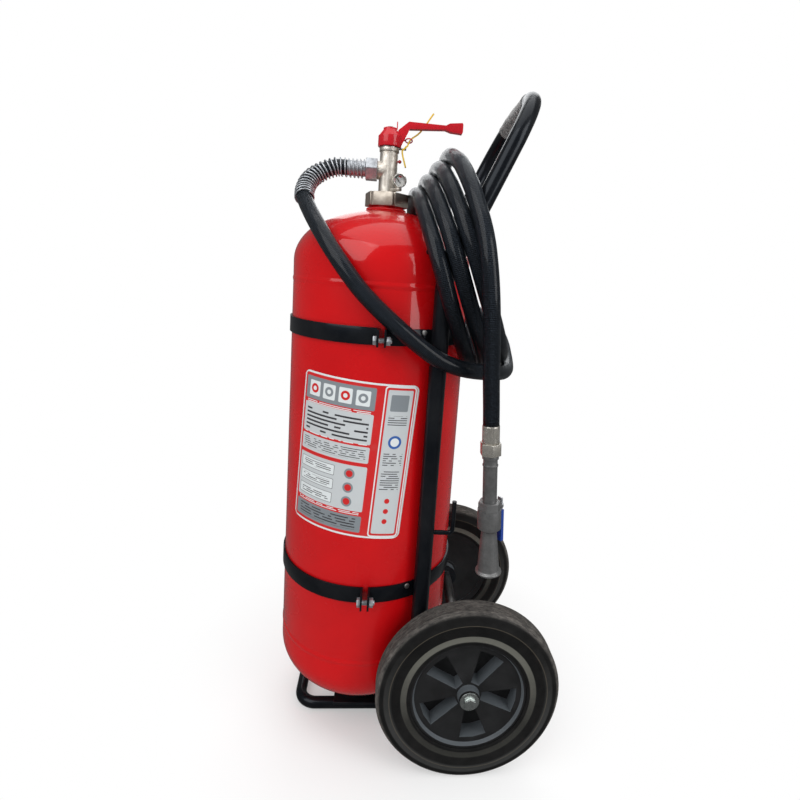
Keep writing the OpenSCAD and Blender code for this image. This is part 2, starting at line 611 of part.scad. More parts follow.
// ---- foot ----
module cross_bar() color("#181818") difference() {
  rod_x(-rail_x, rail_x, rail_y, rail_foot + seat_gap + tube_r, tube_r);
  rod_x(-rail_x - 1, rail_x + 1, rail_y, rail_foot + seat_gap + tube_r, tube_in);
  both_sides() rod_z(rail_foot - 10, rail_foot + 60, rail_x, rail_y, tube_r + seat_gap);
}
foot_r = foot_d / 2;
module foot_bar(r) {
  w = foot_w / 2;
  both_sides() {
    rod_y(foot_bend - foot_front, rail_y + 10, w, foot_r, r);
    translate([w - foot_bend, foot_bend - foot_front, foot_r])
      rotate([0, 0, -90]) rotate_extrude(angle = 90) translate([foot_bend, 0]) circle(r = r);
  }
  rod_x(foot_bend - w, w - foot_bend, -foot_front, foot_r, r);
}
module foot_loop() color("#181818") foot_bar(foot_r);
module base_plate() color("#181818") union() {
  translate([-seat_r - 10, -45, base_z]) cube([seat_d + 20, rail_y + 60, plate_t]);
  translate([2 * foot_r - foot_w / 2 - 8, -45, base_z - pan_drop])
    cube([foot_w - 4 * foot_r + 16, rail_y + 55, pan_drop + 1]);
}
module seat_ring() color("#181818") difference() {
  rod_z(rail_foot + seat_gap, dome_low(seat_in) - seat_gap, 0, 0, seat_r);
  rod_z(rail_foot - 1, shell_low, 0, 0, seat_in);
}

// ---- axle and wheels ----
bracket_t = 6;
module axle() color("#a0a4a8") difference() {
  rod_x(-hub_out - 1, hub_out + 1, axle_y, wheel_r, axle_r);
  both_sides() rod_x(hub_out - 16, hub_out + 2, axle_y, wheel_r, 5);
}
module axle_brackets() color("#181818") both_sides()
  translate([rail_x - bracket_t / 2, 0, 0]) difference() {
    rotate([90, 0, 90]) linear_extrude(height = bracket_t) union() {
      translate([axle_y, wheel_r]) circle(r = 22);
      polygon([[rail_y, wheel_r - 55], [rail_y + tube_r + 6, wheel_r - 55],
        [axle_y + 9, wheel_r - 20.1], [axle_y + 9, wheel_r + 20.1],
        [rail_y + tube_r + 6, wheel_r + 55], [rail_y, wheel_r + 55]]);
    }
    rod_x(-1, bracket_t + 1, axle_y, wheel_r, axle_r + seat_gap);
    rod_z(0, 2 * wheel_r, bracket_t / 2, rail_y, tube_r + seat_gap);
  }
module hub_spacers() color("#a0a4a8") both_sides() difference() {
  rod_x(rail_x + bracket_t / 2 + seat_gap, hub_in - 0.3, axle_y, wheel_r, 15);
  rod_x(rail_x, hub_in + 1, axle_y, wheel_r, axle_r + seat_gap);
}
module axle_washers() color("#b0b6bc") both_sides() difference() {
  rod_x(hub_out + 1 + seat_gap, hub_out + 3.5, axle_y, wheel_r, 15.5);
  rod_x(hub_out, hub_out + 5, axle_y, wheel_r, 5 + seat_gap);
}
module axle_bolts() color("#b0b6bc") both_sides() translate([0, axle_y, wheel_r]) rotate([0, 90, 0]) union() {
  nut_z(hub_out + 3.5 + seat_gap, hub_out + 10, 17, 1);
  translate([0, 0, hub_out - 14]) cylinder(h = 20, r = 4.95);
}
rim_gap = 6;
spoke_out = rim_r - 12;
window_in = 22.5;
web_back = 16;
function window_side(r, w) = 180 / spokes - asin(w / 2 / r);
module window() polygon([for (c = [[window_in, spoke_in_w, -1], [spoke_out - 3, spoke_out_w, -1],
  [spoke_out - 3, spoke_out_w, 0], [spoke_out - 3, spoke_out_w, 1], [window_in, spoke_in_w, 1]])
  let (a = c[2] * window_side(c[0], c[1])) c[0] * [cos(a), sin(a)]]);
module rim() difference() {
  rotate([0, 90, 0]) rotate_extrude() polygon([[axle_r + run_gap, hub_in], [19, hub_in], [21, wheel_x - 17],
    [rim_r - 7, wheel_x - 17], [rim_r - 4, wheel_x - tyre_w / 2 + 2.5], [rim_r - seat_gap, wheel_x - tyre_w / 2 + 2.5],
    [rim_r - seat_gap, wheel_x + tyre_w / 2 - 2.5], [rim_r - 4, wheel_x + tyre_w / 2 - 2.5],
    [rim_r - 7, wheel_x + 13], [18, wheel_x + 13], [17, hub_out], [axle_r + run_gap, hub_out]]);
  for (k = [0 : spokes - 1]) rotate([-170 + 360 / spokes * (k + 0.5), 0, 0]) rotate([0, 90, 0])
    translate([0, 0, wheel_x - web_back + web_t]) linear_extrude(height = 60) window();
  rotate([0, 90, 0]) rotate_extrude() polygon([[26, wheel_x - 18], [26, wheel_x - web_back], [spoke_out, wheel_x - web_back],
    [spoke_out, wheel_x - 18]]);
}
module wheel_at() translate([0, axle_y, wheel_r]) children();
module left_rim() color("#303438") wheel_at() rim();
module right_rim() color("#303438") mirror([1, 0, 0]) wheel_at() rim();
module tyre() rotate([0, 90, 0]) difference() {
  rotate_extrude() polygon([[rim_r, wheel_x - tyre_w / 2 + 1], [rim_r + 10, wheel_x - tyre_w / 2],
    [wheel_r - 22, wheel_x - tyre_w / 2], [wheel_r - 7, wheel_x - tyre_w / 2 + 1.5],
    [wheel_r - 1.5, wheel_x - tyre_w / 2 + 5], [wheel_r, wheel_x - tyre_w / 2 + 8],
    [wheel_r, wheel_x + tyre_w / 2 - 8], [wheel_r - 1.5, wheel_x + tyre_w / 2 - 5],
    [wheel_r - 7, wheel_x + tyre_w / 2 - 1.5], [wheel_r - 22, wheel_x + tyre_w / 2],
    [rim_r + 10, wheel_x + tyre_w / 2], [rim_r, wheel_x + tyre_w / 2 - 1]]);
  for (s = [-2 : 2]) rotate_extrude() translate([wheel_r - 2, wheel_x - 1 + s * 5.2]) square([5, 2]);
}
module left_tyre() color("#202020") wheel_at() tyre();
module right_tyre() color("#202020") mirror([1, 0, 0]) wheel_at() tyre();

tank();
neck_ring();
neck_gasket();
dip_tube();
label();
valve_body();
union_nut();
valve_plug();
gland_nut();
stop_plate();
valve_lever();
stem_nut();
safety_pin();
seal_strap();
bleed_plug();
gauge_case();
gauge_dial();
gauge_needle();
gauge_lens();
outlet_nut();
outlet_ferrule();
guard_spring();
hose_lead();
hose_coil();
hose_tail();
nozzle_ferrule();
nozzle_nut();
nozzle_pipe();
nozzle_body();
nozzle_ball();
ball_seats();
nozzle_stem();
nozzle_lever();
lever_sleeve();
nozzle_cone();
left_rail();
right_rail();
handle_bow();
handle_wrap();
hose_pegs();
nozzle_hook();
upper_band();
lower_band();
band_bolts();
band_nuts();
band_rivets();
cross_bar();
foot_loop();
base_plate();
seat_ring();
axle();
axle_brackets();
hub_spacers();
axle_washers();
axle_bolts();
left_rim();
right_rim();
left_tyre();
right_tyre();
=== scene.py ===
"""Looks of a wheeled fire extinguisher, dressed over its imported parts.

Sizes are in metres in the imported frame, but where a class says otherwise: +Z up
along the tank, +Y towards the handle and the wheels, +X towards the side of the
nozzle. Turns, leans and tilts are in degrees.
"""
import logging
import math
from dataclasses import dataclass
from enum import Enum
from typing import Any, Iterable, Optional, Sequence, Union

import bmesh
import bpy
import numpy as np
from mathutils import Matrix, Vector
from mathutils import noise as mnoise


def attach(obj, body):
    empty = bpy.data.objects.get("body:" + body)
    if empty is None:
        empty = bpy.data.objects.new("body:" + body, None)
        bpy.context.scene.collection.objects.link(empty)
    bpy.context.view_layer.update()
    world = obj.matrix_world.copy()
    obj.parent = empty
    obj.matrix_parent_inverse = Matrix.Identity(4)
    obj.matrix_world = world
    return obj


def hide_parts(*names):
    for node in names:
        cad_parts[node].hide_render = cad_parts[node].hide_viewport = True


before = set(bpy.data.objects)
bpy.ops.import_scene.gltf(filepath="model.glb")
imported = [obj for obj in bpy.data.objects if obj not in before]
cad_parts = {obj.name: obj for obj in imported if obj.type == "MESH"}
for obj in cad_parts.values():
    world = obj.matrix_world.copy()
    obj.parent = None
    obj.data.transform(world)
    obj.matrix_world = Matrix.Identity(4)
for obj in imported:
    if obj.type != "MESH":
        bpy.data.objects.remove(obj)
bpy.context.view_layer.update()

log = logging.getLogger("extinguisher")
MM = 0.001
MERGED_UNDER = 0.00001  # metres: nearer points of a copied node are one
FLAT_UNDER = 0.6  # degrees: faces of a copied node at a smaller angle are one
BROKEN_OVER = 32.0  # degrees: edges of a smaller angle aren't bevelled
SKIN_SHARP = 38.0  # degrees: over this, a bevelled copy's shading breaks at an edge
RING_SHARP = 35.0  # degrees: the same for a repeated piece
TUBE_SHARP = 50.0  # degrees: the same for a tube
Number = Union[int, float]
Pair = tuple[float, float]
Point = tuple[float, float, float]
Colour = tuple[float, float, float]


# ---------------------------------------------------------------- shader maths


class Val:
    """A number that a shader works out, with Python's arithmetic on it."""

    def __init__(self, tree: bpy.types.NodeTree, socket: Any) -> None:
        """Wrap a socket of a node tree."""
        self.tree = tree
        self.socket = socket

    def math(self, operation: str, *others: Any, clamp: bool = False) -> "Val":
        """Return this value put through a Math node.

        Args:
            operation: The Math node's operation.
            others: The second and third values.
            clamp: Whether the result is kept from 0 to 1.

        Returns:
            The result.
        """
        node = self.tree.nodes.new("ShaderNodeMath")
        node.operation = operation
        node.use_clamp = clamp
        for slot, value in zip(node.inputs, (self, *others)):
            if isinstance(value, Val):
                self.tree.links.new(value.socket, slot)
            else:
                slot.default_value = float(value)
        return Val(self.tree, node.outputs[0])

    def __add__(self, other: Any) -> "Val":
        """Return the sum."""
        return self.math("ADD", other)

    __radd__ = __add__

    def __sub__(self, other: Any) -> "Val":
        """Return the difference."""
        return self.math("SUBTRACT", other)

    def __rsub__(self, other: Number) -> "Val":
        """Return a number minus this value."""
        return self.math("MULTIPLY_ADD", -1.0, other)

    def __mul__(self, other: Any) -> "Val":
        """Return the product."""
        return self.math("MULTIPLY", other)

    __rmul__ = __mul__

    def __truediv__(self, other: Any) -> "Val":
        """Return the quotient."""
        return self.math("DIVIDE", other)

    def __abs__(self) -> "Val":
        """Return the size without its sign."""
        return self.math("ABSOLUTE")

    def __gt__(self, other: Any) -> "Val":
        """Return 1 where this value is the greater, else 0."""
        return self.math("GREATER_THAN", other)

    def __lt__(self, other: Any) -> "Val":
        """Return 1 where this value is the smaller, else 0."""
        return self.math("LESS_THAN", other)

    def sin(self) -> "Val":
        """Return the sine of an angle in radians."""
        return self.math("SINE")

    def high(self, other: Any) -> "Val":
        """Return the greater of two values."""
        return self.math("MAXIMUM", other)

    def step(self, start: float, end: float) -> "Val":
        """Return 0 below start, 1 above end and a straight rise between."""
        return ((self - start) / (end - start)).math("ADD", 0.0, clamp=True)

    def within(self, start: float, end: float, soft: float) -> "Val":
        """Return 1 from start to end and 0 outside, with both edges soft."""
        return self.step(start, start + soft) * (1 - self.step(end - soft, end))


class Side(Enum):
    """Which side of the tank a piece is on, with the sign of its X."""

    LEFT = 1
    RIGHT = -1

    @property
    def word(self) -> str:
        """Return the side's name as the nodes spell it."""
        return self.name.lower()


class Shade:
    """One material's node tree, built call by call."""

    def __init__(self, name: str) -> None:
        """Start a material with a Principled shader.

        Args:
            name: The material's name.
        """
        self.mat = bpy.data.materials.new(name)
        self.mat.use_nodes = True
        self.tree = self.mat.node_tree
        self.tree.nodes.clear()
        self.out = self.tree.nodes.new("ShaderNodeOutputMaterial")
        self.skin = self.tree.nodes.new("ShaderNodeBsdfPrincipled")
        self.tree.links.new(self.skin.outputs[0], self.out.inputs[0])

    def node(self, kind: str, settings: Optional[dict] = None, sockets: Optional[dict] = None) -> Any:
        """Add a node, set it up and feed its sockets.

        Args:
            kind: The node's type without the ShaderNode in front.
            settings: Its own settings; "stops" fills a colour ramp.
            sockets: Input names with a value, a Val or an output socket.

        Returns:
            The node.
        """
        made = self.tree.nodes.new("ShaderNode" + kind)
        for key, value in (settings or {}).items():
            if key == "stops":
                ramp = made.color_ramp
                while len(ramp.elements) > 1:
                    ramp.elements.remove(ramp.elements[-1])
                for i, (at, colour) in enumerate(value):
                    stop = ramp.elements[0] if i == 0 else ramp.elements.new(at)
                    stop.position = at
                    stop.color = (*colour, 1.0) if len(colour) == 3 else colour
            else:
                setattr(made, key, value)
        for key, value in (sockets or {}).items():
            self.feed(made.inputs[key], value)
        return made

    def feed(self, slot: Any, value: Any) -> None:
        """Set an input socket.

        Args:
            slot: The input socket.
            value: A number, a colour, a Val or an output socket.
        """
        if isinstance(value, Val):
            self.tree.links.new(value.socket, slot)
        elif isinstance(value, bpy.types.NodeSocket):
            self.tree.links.new(value, slot)
        elif hasattr(value, "__len__") and len(value) == 3 and slot.type == "RGBA":
            slot.default_value = (*value, 1.0)
        else:
            slot.default_value = value

    def val(self, socket: Any) -> Val:
        """Wrap a socket for arithmetic."""
        return Val(self.tree, socket)

    def place(self) -> Any:
        """Return the Object coordinates."""
        return self.node("TexCoord").outputs["Object"]

    def flat(self, name: str) -> tuple[Val, Val]:
        """Return the two coordinates of a named UV map."""
        split = self.node("SeparateXYZ", None, {"Vector": self.node("UVMap", {"uv_map": name}).outputs[0]})
        return self.val(split.outputs[0]), self.val(split.outputs[1])

    def axes(self) -> tuple[Val, Val, Val]:
        """Return X, Y and Z of the Object coordinates."""
        split = self.node("SeparateXYZ", None, {"Vector": self.place()})
        return tuple(self.val(split.outputs[i]) for i in range(3))

    def noise(self, scale: float, detail: float = 4.0, rough: float = 0.55,
              stretch: Optional[Sequence[float]] = None, where: Any = None) -> Val:
        """Return cloud noise.

        Args:
            scale: Cells a metre.
            detail: Octaves.
            rough: How strong the finer octaves are.
            stretch: Scale along X, Y and Z.
            where: The coordinates that it is read at, or None for Object.

        Returns:
            The noise, about 0.5 on average.
        """
        if where is None:
            where = self.place()
        if stretch is not None:
            where = self.node("Mapping", None, {"Vector": where, "Scale": stretch}).outputs[0]
        made = self.node("TexNoise", None,
                         {"Vector": where, "Scale": scale, "Detail": detail, "Roughness": rough})
        return self.val(made.outputs["Fac"])

    def mix(self, share: Any, first: Any, second: Any) -> Any:
        """Mix two colours.

        Args:
            share: How much of the second there is, from 0 to 1.
            first: The first colour.
            second: The second colour.

        Returns:
            The output socket of the mixed colour.
        """
        made = self.node("Mix", {"data_type": "RGBA"})
        self.feed(made.inputs[0], share)
        self.feed(made.inputs[6], first)
        self.feed(made.inputs[7], second)
        return made.outputs[2]

    def bump(self, height: Val, depth: float, strength: float = 1.0) -> None:
        """Raise the surface by a height times a depth in metres."""
        made = self.node("Bump", None, {"Height": height, "Distance": depth, "Strength": strength})
        self.tree.links.new(made.outputs[0], self.skin.inputs["Normal"])

    def dress(self, **sockets: Any) -> bpy.types.Material:
        """Feed the Principled shader and return the material.

        Args:
            sockets: Input names with their spaces written as underscores.

        Returns:
            The finished material.
        """
        for key, value in sockets.items():
            self.feed(self.skin.inputs[key.replace("_", " ")], value)
        return self.mat


# -------------------------------------------------------------------- finishes


class Finish:
    """A finish that makes its material once."""

    _made: dict[Any, bpy.types.Material] = {}

    def material(self) -> bpy.types.Material:
        """Make the finish's material on first use and keep it.

        Returns:
            The material.
        """
        if self not in Finish._made:
            Finish._made[self] = self.build()
        return Finish._made[self]

    def build(self) -> bpy.types.Material:
        """Make the material."""
        raise NotImplementedError


@dataclass(frozen=True)
class GlossPaint(Finish):
    """Sprayed enamel with orange peel, a clear sheen and a little dust."""

    name: str
    colour: Colour
    shade: Colour
    rough: float = 0.22
    peel: float = 0.00006
    dust: float = 0.25

    def build(self) -> bpy.types.Material:
        """Make the enamel.

        Returns:
            The material.
        """
        s = Shade(self.name)
        cloud = s.noise(9.0, 5.0)
        fine = s.noise(420.0, 2.0)
        speck = s.noise(900.0, 2.0, 0.7).step(0.70, 0.78)
        base = s.mix(cloud.step(0.35, 0.75), self.colour, self.shade)
        base = s.mix(speck * self.dust, base, (0.32, 0.20, 0.18))
        s.bump(fine, self.peel, 0.6)
        return s.dress(Base_Color=base, Roughness=self.rough + 0.10 * cloud + 0.10 * speck,
                       Specular_IOR_Level=0.10, Coat_Weight=0.62, Coat_Roughness=0.05)


@dataclass(frozen=True)
class TubePaint(Finish):
    """Black powder coat on steel, with a fine grain and rubbed dusty places."""

    name: str = "black powder coat"
    colour: Colour = (0.0033, 0.0038, 0.0052)
    worn: Colour = (0.022, 0.021, 0.021)
    rough: float = 0.26

    def build(self) -> bpy.types.Material:
        """Make the powder coat.

        Returns:
            The material.
        """
        s = Shade(self.name)
        cloud = s.noise(14.0, 6.0, 0.6)
        grain = s.noise(1500.0, 2.0)
        rub = s.noise(60.0, 8.0, 0.72).step(0.60, 0.72)
        base = s.mix(cloud.step(0.45, 0.8) * 0.5 + rub * 0.35, self.colour, self.worn)
        s.bump(grain, 0.00008, 0.5)
        # painted reflection: Specular Tint and Coat Tint turn the sheen blue, standing for bluish sky light
        return s.dress(Base_Color=base, Roughness=self.rough + 0.18 * cloud + 0.12 * rub,
                       Specular_IOR_Level=0.16, Specular_Tint=(0.65, 0.80, 1.0), Coat_Weight=0.26,
                       Coat_Roughness=0.12, Coat_Tint=(0.85, 0.93, 1.0))


@dataclass(frozen=True)
class Metal(Finish):
    """Bare or plated metal with cloudy tone, grain and turning marks."""

    name: str
    colour: Colour
    shade: Colour
    rough: float = 0.3
    grain: float = 0.00006
    grain_scale: float = 900.0
    cloud_scale: float = 60.0
    metallic: float = 1.0

    def build(self) -> bpy.types.Material:
        """Make the metal.

        Returns:
            The material.
        """
        s = Shade(self.name)
        cloud = s.noise(self.cloud_scale, 6.0, 0.6)
        grain = s.noise(self.grain_scale, 3.0, 0.6)
        lines = s.noise(260.0, 3.0, 0.5, (1.0, 1.0, 9.0))
        base = s.mix(cloud.step(0.35, 0.7), self.colour, self.shade)
        base = s.mix(lines.step(0.60, 0.78) * 0.35, base, tuple(0.45 * c for c in self.shade))
        s.bump(grain + 0.5 * lines, self.grain, 0.7)
        return s.dress(Base_Color=base, Metallic=self.metallic,
                       Roughness=self.rough + 0.22 * cloud.step(0.4, 0.75))


@dataclass(frozen=True)
class Plastic(Finish):
    """Moulded plastic or plain rubber with a soft grain."""

    name: str
    colour: Colour
    shade: Colour
    rough: float = 0.45
    grain: float = 0.00005
    grain_scale: float = 1200.0
    coat: float = 0.0

    def build(self) -> bpy.types.Material:
        """Make the plastic.

        Returns:
            The material.
        """
        s = Shade(self.name)
        cloud = s.noise(45.0, 5.0)
        grain = s.noise(self.grain_scale, 2.0)
        s.bump(grain, self.grain, 0.6)
        return s.dress(Base_Color=s.mix(cloud.step(0.35, 0.75), self.colour, self.shade),
                       Roughness=self.rough + 0.15 * cloud, Coat_Weight=self.coat)


@dataclass(frozen=True)
class HoseSkin(Finish):
    """Wrapped black rubber with the diagonal print of the curing cloth."""

    name: str = "hose rubber"
    around: int = 22
    pitch: float = 0.0050

    def build(self) -> bpy.types.Material:
        """Make the hose's skin from its own map: turns around, metres along.

        Returns:
            The material.
        """
        s = Shade(self.name)
        u, v = s.flat("run")
        turn = 2 * math.pi * self.around
        along = 2 * math.pi / self.pitch
        weave = (u * turn + v * along).sin() * (u * turn - v * along).sin()
        wrap = (u * (2 * math.pi) + v * (2 * math.pi / 0.055)).sin().step(0.93, 1.0)
        cloud = s.noise(30.0, 5.0)
        dust = s.noise(140.0, 7.0, 0.7).step(0.55, 0.8)
        # painted reflection: the blacks lean blue to stand for bluish sky light on the rubber; dust greys
        # them
        base = s.mix(dust * 0.5, (0.0030, 0.0036, 0.0048), (0.014, 0.0150, 0.0170))
        s.bump(weave + 0.4 * wrap + 0.4 * cloud, 0.00055, 0.9)
        # painted reflection: Specular Tint and Coat Tint turn the sheen blue, standing for bluish sky light
        return s.dress(Base_Color=base, Roughness=0.30 + 0.14 * cloud + 0.12 * dust,
                       Specular_IOR_Level=0.30, Specular_Tint=(0.62, 0.78, 1.0), Coat_Weight=0.34,
                       Coat_Roughness=0.15, Coat_Tint=(0.85, 0.93, 1.0))


@dataclass(frozen=True)
class TyreSkin(Finish):
    """Solid rubber: a dusty tread, dark sides with thin rings and a pale lip, with painted light: the lip
    brighter at the top, the shoulder paler at the bottom.
    """

    name: str = "tyre rubber"
    centre_y: float = 0.176963
    centre_z: float = 0.149
    outer: float = 0.149
    inner: float = 0.094

    def build(self) -> bpy.types.Material:
        """Make the rubber, with rings by the distance from the axle.

        Returns:
            The material.
        """
        s = Shade(self.name)
        x, y, z = s.axes()
        dy, dz = y - self.centre_y, z - self.centre_z
        r = (dy * dy + dz * dz).math("SQRT")
        cloud = s.noise(38.0, 6.0, 0.62)
        fine = s.noise(700.0, 4.0, 0.7)
        streak = s.noise(90.0, 6.0, 0.7)
        tread = r.step(self.outer - 0.007, self.outer - 0.003)
        around = dy.math("ARCTAN2", dz) * (0.3 * self.outer)
        run = s.node("CombineXYZ", None, {"X": x * 3.0, "Y": around, "Z": 0.0})
        worn = s.noise(210.0, 7.0, 0.72, where=run.outputs[0]).step(0.42, 0.60)
        lip = r.within(self.inner + 0.0050, self.inner + 0.0158, 0.0012)
        shoulder = r.step(self.outer - 0.026, self.outer - 0.022)
        shoulder = shoulder * r.step(self.outer - 0.012, self.outer - 0.014)
        line = r.within(self.outer - 0.0227, self.outer - 0.0208, 0.0007)
        # painted light: higher round the wheel counts as lit and lower as shaded, with streaks mixed in
        high = (dz / r + 0.45 * streak).step(-0.2, 0.9)
        dust = (cloud * 0.6 + streak * 0.5).step(0.40, 0.72)
        side = s.mix(cloud.step(0.4, 0.75) * 0.6, (0.005, 0.005, 0.005), (0.014, 0.0135, 0.013))
        # painted highlight: the pale lip ring is painted brighter towards the top of the wheel
        side = s.mix(lip * (0.2 + 0.8 * high), side, (0.115, 0.115, 0.098))
        # painted light: the shoulder band is painted paler towards the bottom of the wheel
        side = s.mix(shoulder * (1 - high) * 0.8, side, (0.045, 0.046, 0.045))
        side = s.mix(line * 0.5, side, (0.10, 0.085, 0.06))
        top = s.mix(dust, (0.060, 0.056, 0.051), (0.165, 0.152, 0.138))
        top = s.mix(worn * 0.75, top, (0.022, 0.021, 0.022))
        s.bump(fine * 0.7 + streak - worn * tread, 0.0006, 0.6)
        return s.dress(Base_Color=s.mix(tread, side, top), Roughness=0.52 + 0.25 * cloud + 0.15 * tread,
                       Specular_IOR_Level=0.22)


@dataclass(frozen=True)
class RimSkin(Finish):
    """Grainy dark moulded rim with scuffs, its walls and ledges painted a pale blue-grey as painted light."""

    name: str = "rim plastic"

    def build(self) -> bpy.types.Material:
        """Make the rim's plastic.

        Returns:
            The material.
        """
        s = Shade(self.name)
        cloud = s.noise(28.0, 6.0, 0.6)
        grain = s.noise(1400.0, 3.0, 0.6)
        scuff = s.noise(160.0, 8.0, 0.75).step(0.66, 0.76)
        wall = s.val(s.node("Attribute", {"attribute_name": "wall"}).outputs["Fac"])
        base = s.mix(cloud.step(0.35, 0.75), (0.0095, 0.0098, 0.0105), (0.018, 0.0185, 0.0195))
        # painted light: faces that don't face sideways, the walls and ledges, are painted pale blue-grey as
        # lit
        base = s.mix(wall * 0.8, base, (0.098, 0.112, 0.124))
        base = s.mix(scuff * 0.3, base, (0.05, 0.05, 0.05))
        s.bump(grain, 0.00022, 0.7)
        return s.dress(Base_Color=base, Roughness=0.44 + 0.18 * cloud, Specular_IOR_Level=0.28)


@dataclass(frozen=True)
class PrintedFilm(Finish):
    """A printed film in plain colour fields, by its own map in metres."""

    name: str = "printed film"
    half_w: float = 0.097
    half_h: float = 0.125
    white: Colour = (0.66, 0.70, 0.71)
    red: Colour = (0.56, 0.008, 0.009)
    pale: Colour = (0.50, 0.53, 0.545)
    steel: Colour = (0.20, 0.225, 0.245)
    ink: Colour = (0.035, 0.035, 0.04)
    mark: Colour = (0.02, 0.10, 0.36)

    def build(self) -> bpy.types.Material:
        """Make the film: a border, a frame, fields, discs and ruled bars.

        Returns:
            The material.
        """
        s = Shade(self.name)
        x, y = s.flat("sheet")

        def box(cx: float, cy: float, hw: float, hh: float, r: float) -> Val:
            """Draw a rounded box, in millimetres.

            Args:
                cx: Its middle along X.
                cy: Its middle along Y.
                hw: Half its width.
                hh: Half its height.
                r: Radius of its corners.

            Returns:
                Its mask.
            """
            dx = (abs(x - cx * MM) - (hw - r) * MM).high(0.0)
            dy = (abs(y - cy * MM) - (hh - r) * MM).high(0.0)
            return 1 - (dx * dx + dy * dy).math("SQRT").step((r - 0.25) * MM, (r + 0.25) * MM)

        def disc(cx: float, cy: float, r: float) -> Val:
            """Return the mask of a disc in millimetres."""
            dx, dy = x - cx * MM, y - cy * MM
            return 1 - (dx * dx + dy * dy).math("SQRT").step((r - 0.25) * MM, (r + 0.25) * MM)

        def dashes(pitch: float, share: float, length: float) -> Val:
            """Rule lines broken into dashes of uneven length, in millimetres.

            Args:
                pitch: From one line to the next.
                share: How much of the pitch is printed.
                length: The shortest dash.

            Returns:
                Their mask.
            """
            down = y / (pitch * MM)
            row = down.math("FLOOR")
            cell = (x / (length * MM) + row * 0.37).math("FLOOR")
            luck = ((cell * 12.9 + row * 78.2).sin() * 437.5).math("FRACT")
            return (down.math("FRACT") < share) * (abs(luck) > 0.22)

        base: Any = self.white

        def lay(mask: Val, tone: Colour) -> None:
            """Print a colour over what is there, where a mask allows it."""
            nonlocal base
            base = s.mix(mask, base, tone)

        hw, hh = self.half_w / MM, self.half_h / MM
        left, right = -29.5, hw - 28.5
        lay(box(0, 0, hw - 3.0, hh - 3.0, 5), self.red)
        lay(box(right, 0, 24.5, hh - 3.0, 5), self.white)
        lay(box(right, 0, 22.5, hh - 5.0, 4), self.red)
        for cx, cy, bw, bh, tone in ((left, 99, 61, 18, self.steel), (left, 51, 61, 24, self.pale),
                                     (left, 10, 61, 13, self.pale), (left, -46, 61, 37, self.pale),
                                     (left, -104, 61, 13.5, self.steel),
                                     (right, 0, 19.5, hh - 8.5, self.pale)):
            lay(box(cx, cy, bw, bh, 2.5), tone)
        for k, tone in enumerate((self.red, self.steel, self.red, self.steel)):
            cx = left - 42 + 28 * k
            lay(box(cx, 99, 11, 12, 2), self.white)
            lay(disc(cx, 99, 7.5), tone)
            lay(disc(cx, 99, 3.5), self.white)
        for k in range(3):
            cy = -23 - 23 * k
            lay(box(left - 24, cy, 33, 8.5, 2), self.ink)
            lay(box(left - 24, cy, 32.3, 7.8, 1.6), self.white)
            lay(box(left - 24, cy, 27, 4.8, 1) * dashes(3.2, 0.40, 6.0), self.ink)
            lay(disc(left + 34, cy, 8.5), self.steel)
            lay(disc(left + 34, cy, 5.5), self.red)
            lay(disc(right, -62 - 17 * k, 4.2), self.red)
        lay(box(left, 51, 55, 19, 1) * dashes(6.4, 0.46, 11.0), self.ink)
        lay(box(left, 10, 56, 9, 1) * dashes(3.4, 0.36, 5.0), self.ink)
        for cy, bh in ((77, 2.4), (26.5, 1.2), (-86.5, 2.0)):
            lay(box(left, cy, 56, bh, 0.5) * dashes(2.6, 0.5, 4.0), self.white)
        lay(box(left, -104, 52, 9.5, 1) * dashes(4.6, 0.42, 6.0), self.ink)
        lay(box(right, 96, 14, 13, 2), self.steel)
        lay(disc(right, 34, 10.5), self.mark)
        lay(disc(right, 34, 6.8), self.white)
        for cy, bh in ((68, 8), (6, 11), (-28, 16)):
            lay(box(right, cy, 15, bh, 1) * dashes(3.6, 0.38, 5.0), self.ink)
        cloud = s.noise(50.0, 4.0)
        s.bump(s.noise(300.0, 3.0), 0.00008, 0.4)
        return s.dress(Base_Color=s.mix(cloud.step(0.55, 0.9) * 0.12, base, (0.30, 0.28, 0.26)),
                       Roughness=0.24 + 0.12 * cloud, Coat_Weight=0.4, Coat_Roughness=0.1)


@dataclass(frozen=True)
class DialPrint(Finish):
    """A gauge face: pale, with red and green arcs and plain ticks."""

    name: str = "gauge face"
    radius: float = 0.0099

    def build(self) -> bpy.types.Material:
        """Make the face from its own map, centred, in metres.

        Returns:
            The material.
        """
        s = Shade(self.name)
        x, y = s.flat("face")
        r = (x * x + y * y).math("SQRT") / self.radius
        angle = x.math("ARCTAN2", y) * (180 / math.pi)
        band = r.within(0.60, 0.88, 0.04)

        def arc(start: float, end: float) -> Val:
            """Return the mask of an arc between two angles in degrees."""
            return angle.within(start - 1, end + 1, 2) * band

        base = s.mix(arc(-112, -62), (0.78, 0.78, 0.76), (0.50, 0.02, 0.03))
        base = s.mix(arc(-60, -8), base, (0.02, 0.12, 0.06))
        base = s.mix(arc(-6, 38), base, (0.50, 0.02, 0.03))
        tick = abs((angle / 15.0).math("FRACT") - 0.5) > 0.46
        base = s.mix(tick * r.within(0.88, 0.98, 0.02), base, (0.03, 0.03, 0.03))
        base = s.mix(1 - r.step(0.10, 0.13), base, (0.05, 0.05, 0.05))
        return s.dress(Base_Color=base, Roughness=0.35 + 0.1 * s.noise(200.0))


@dataclass(frozen=True)
class Lens(Finish):
    """Clear plastic over the gauge."""

    name: str = "clear lens"

    def build(self) -> bpy.types.Material:
        """Make the lens, with a little haze in its roughness.

        Returns:
            The material.
        """
        s = Shade(self.name)
        return s.dress(Base_Color=(0.98, 0.99, 1.0), Roughness=0.02 + 0.05 * s.noise(200.0),
                       Transmission_Weight=1.0, IOR=1.3, Alpha=0.25)


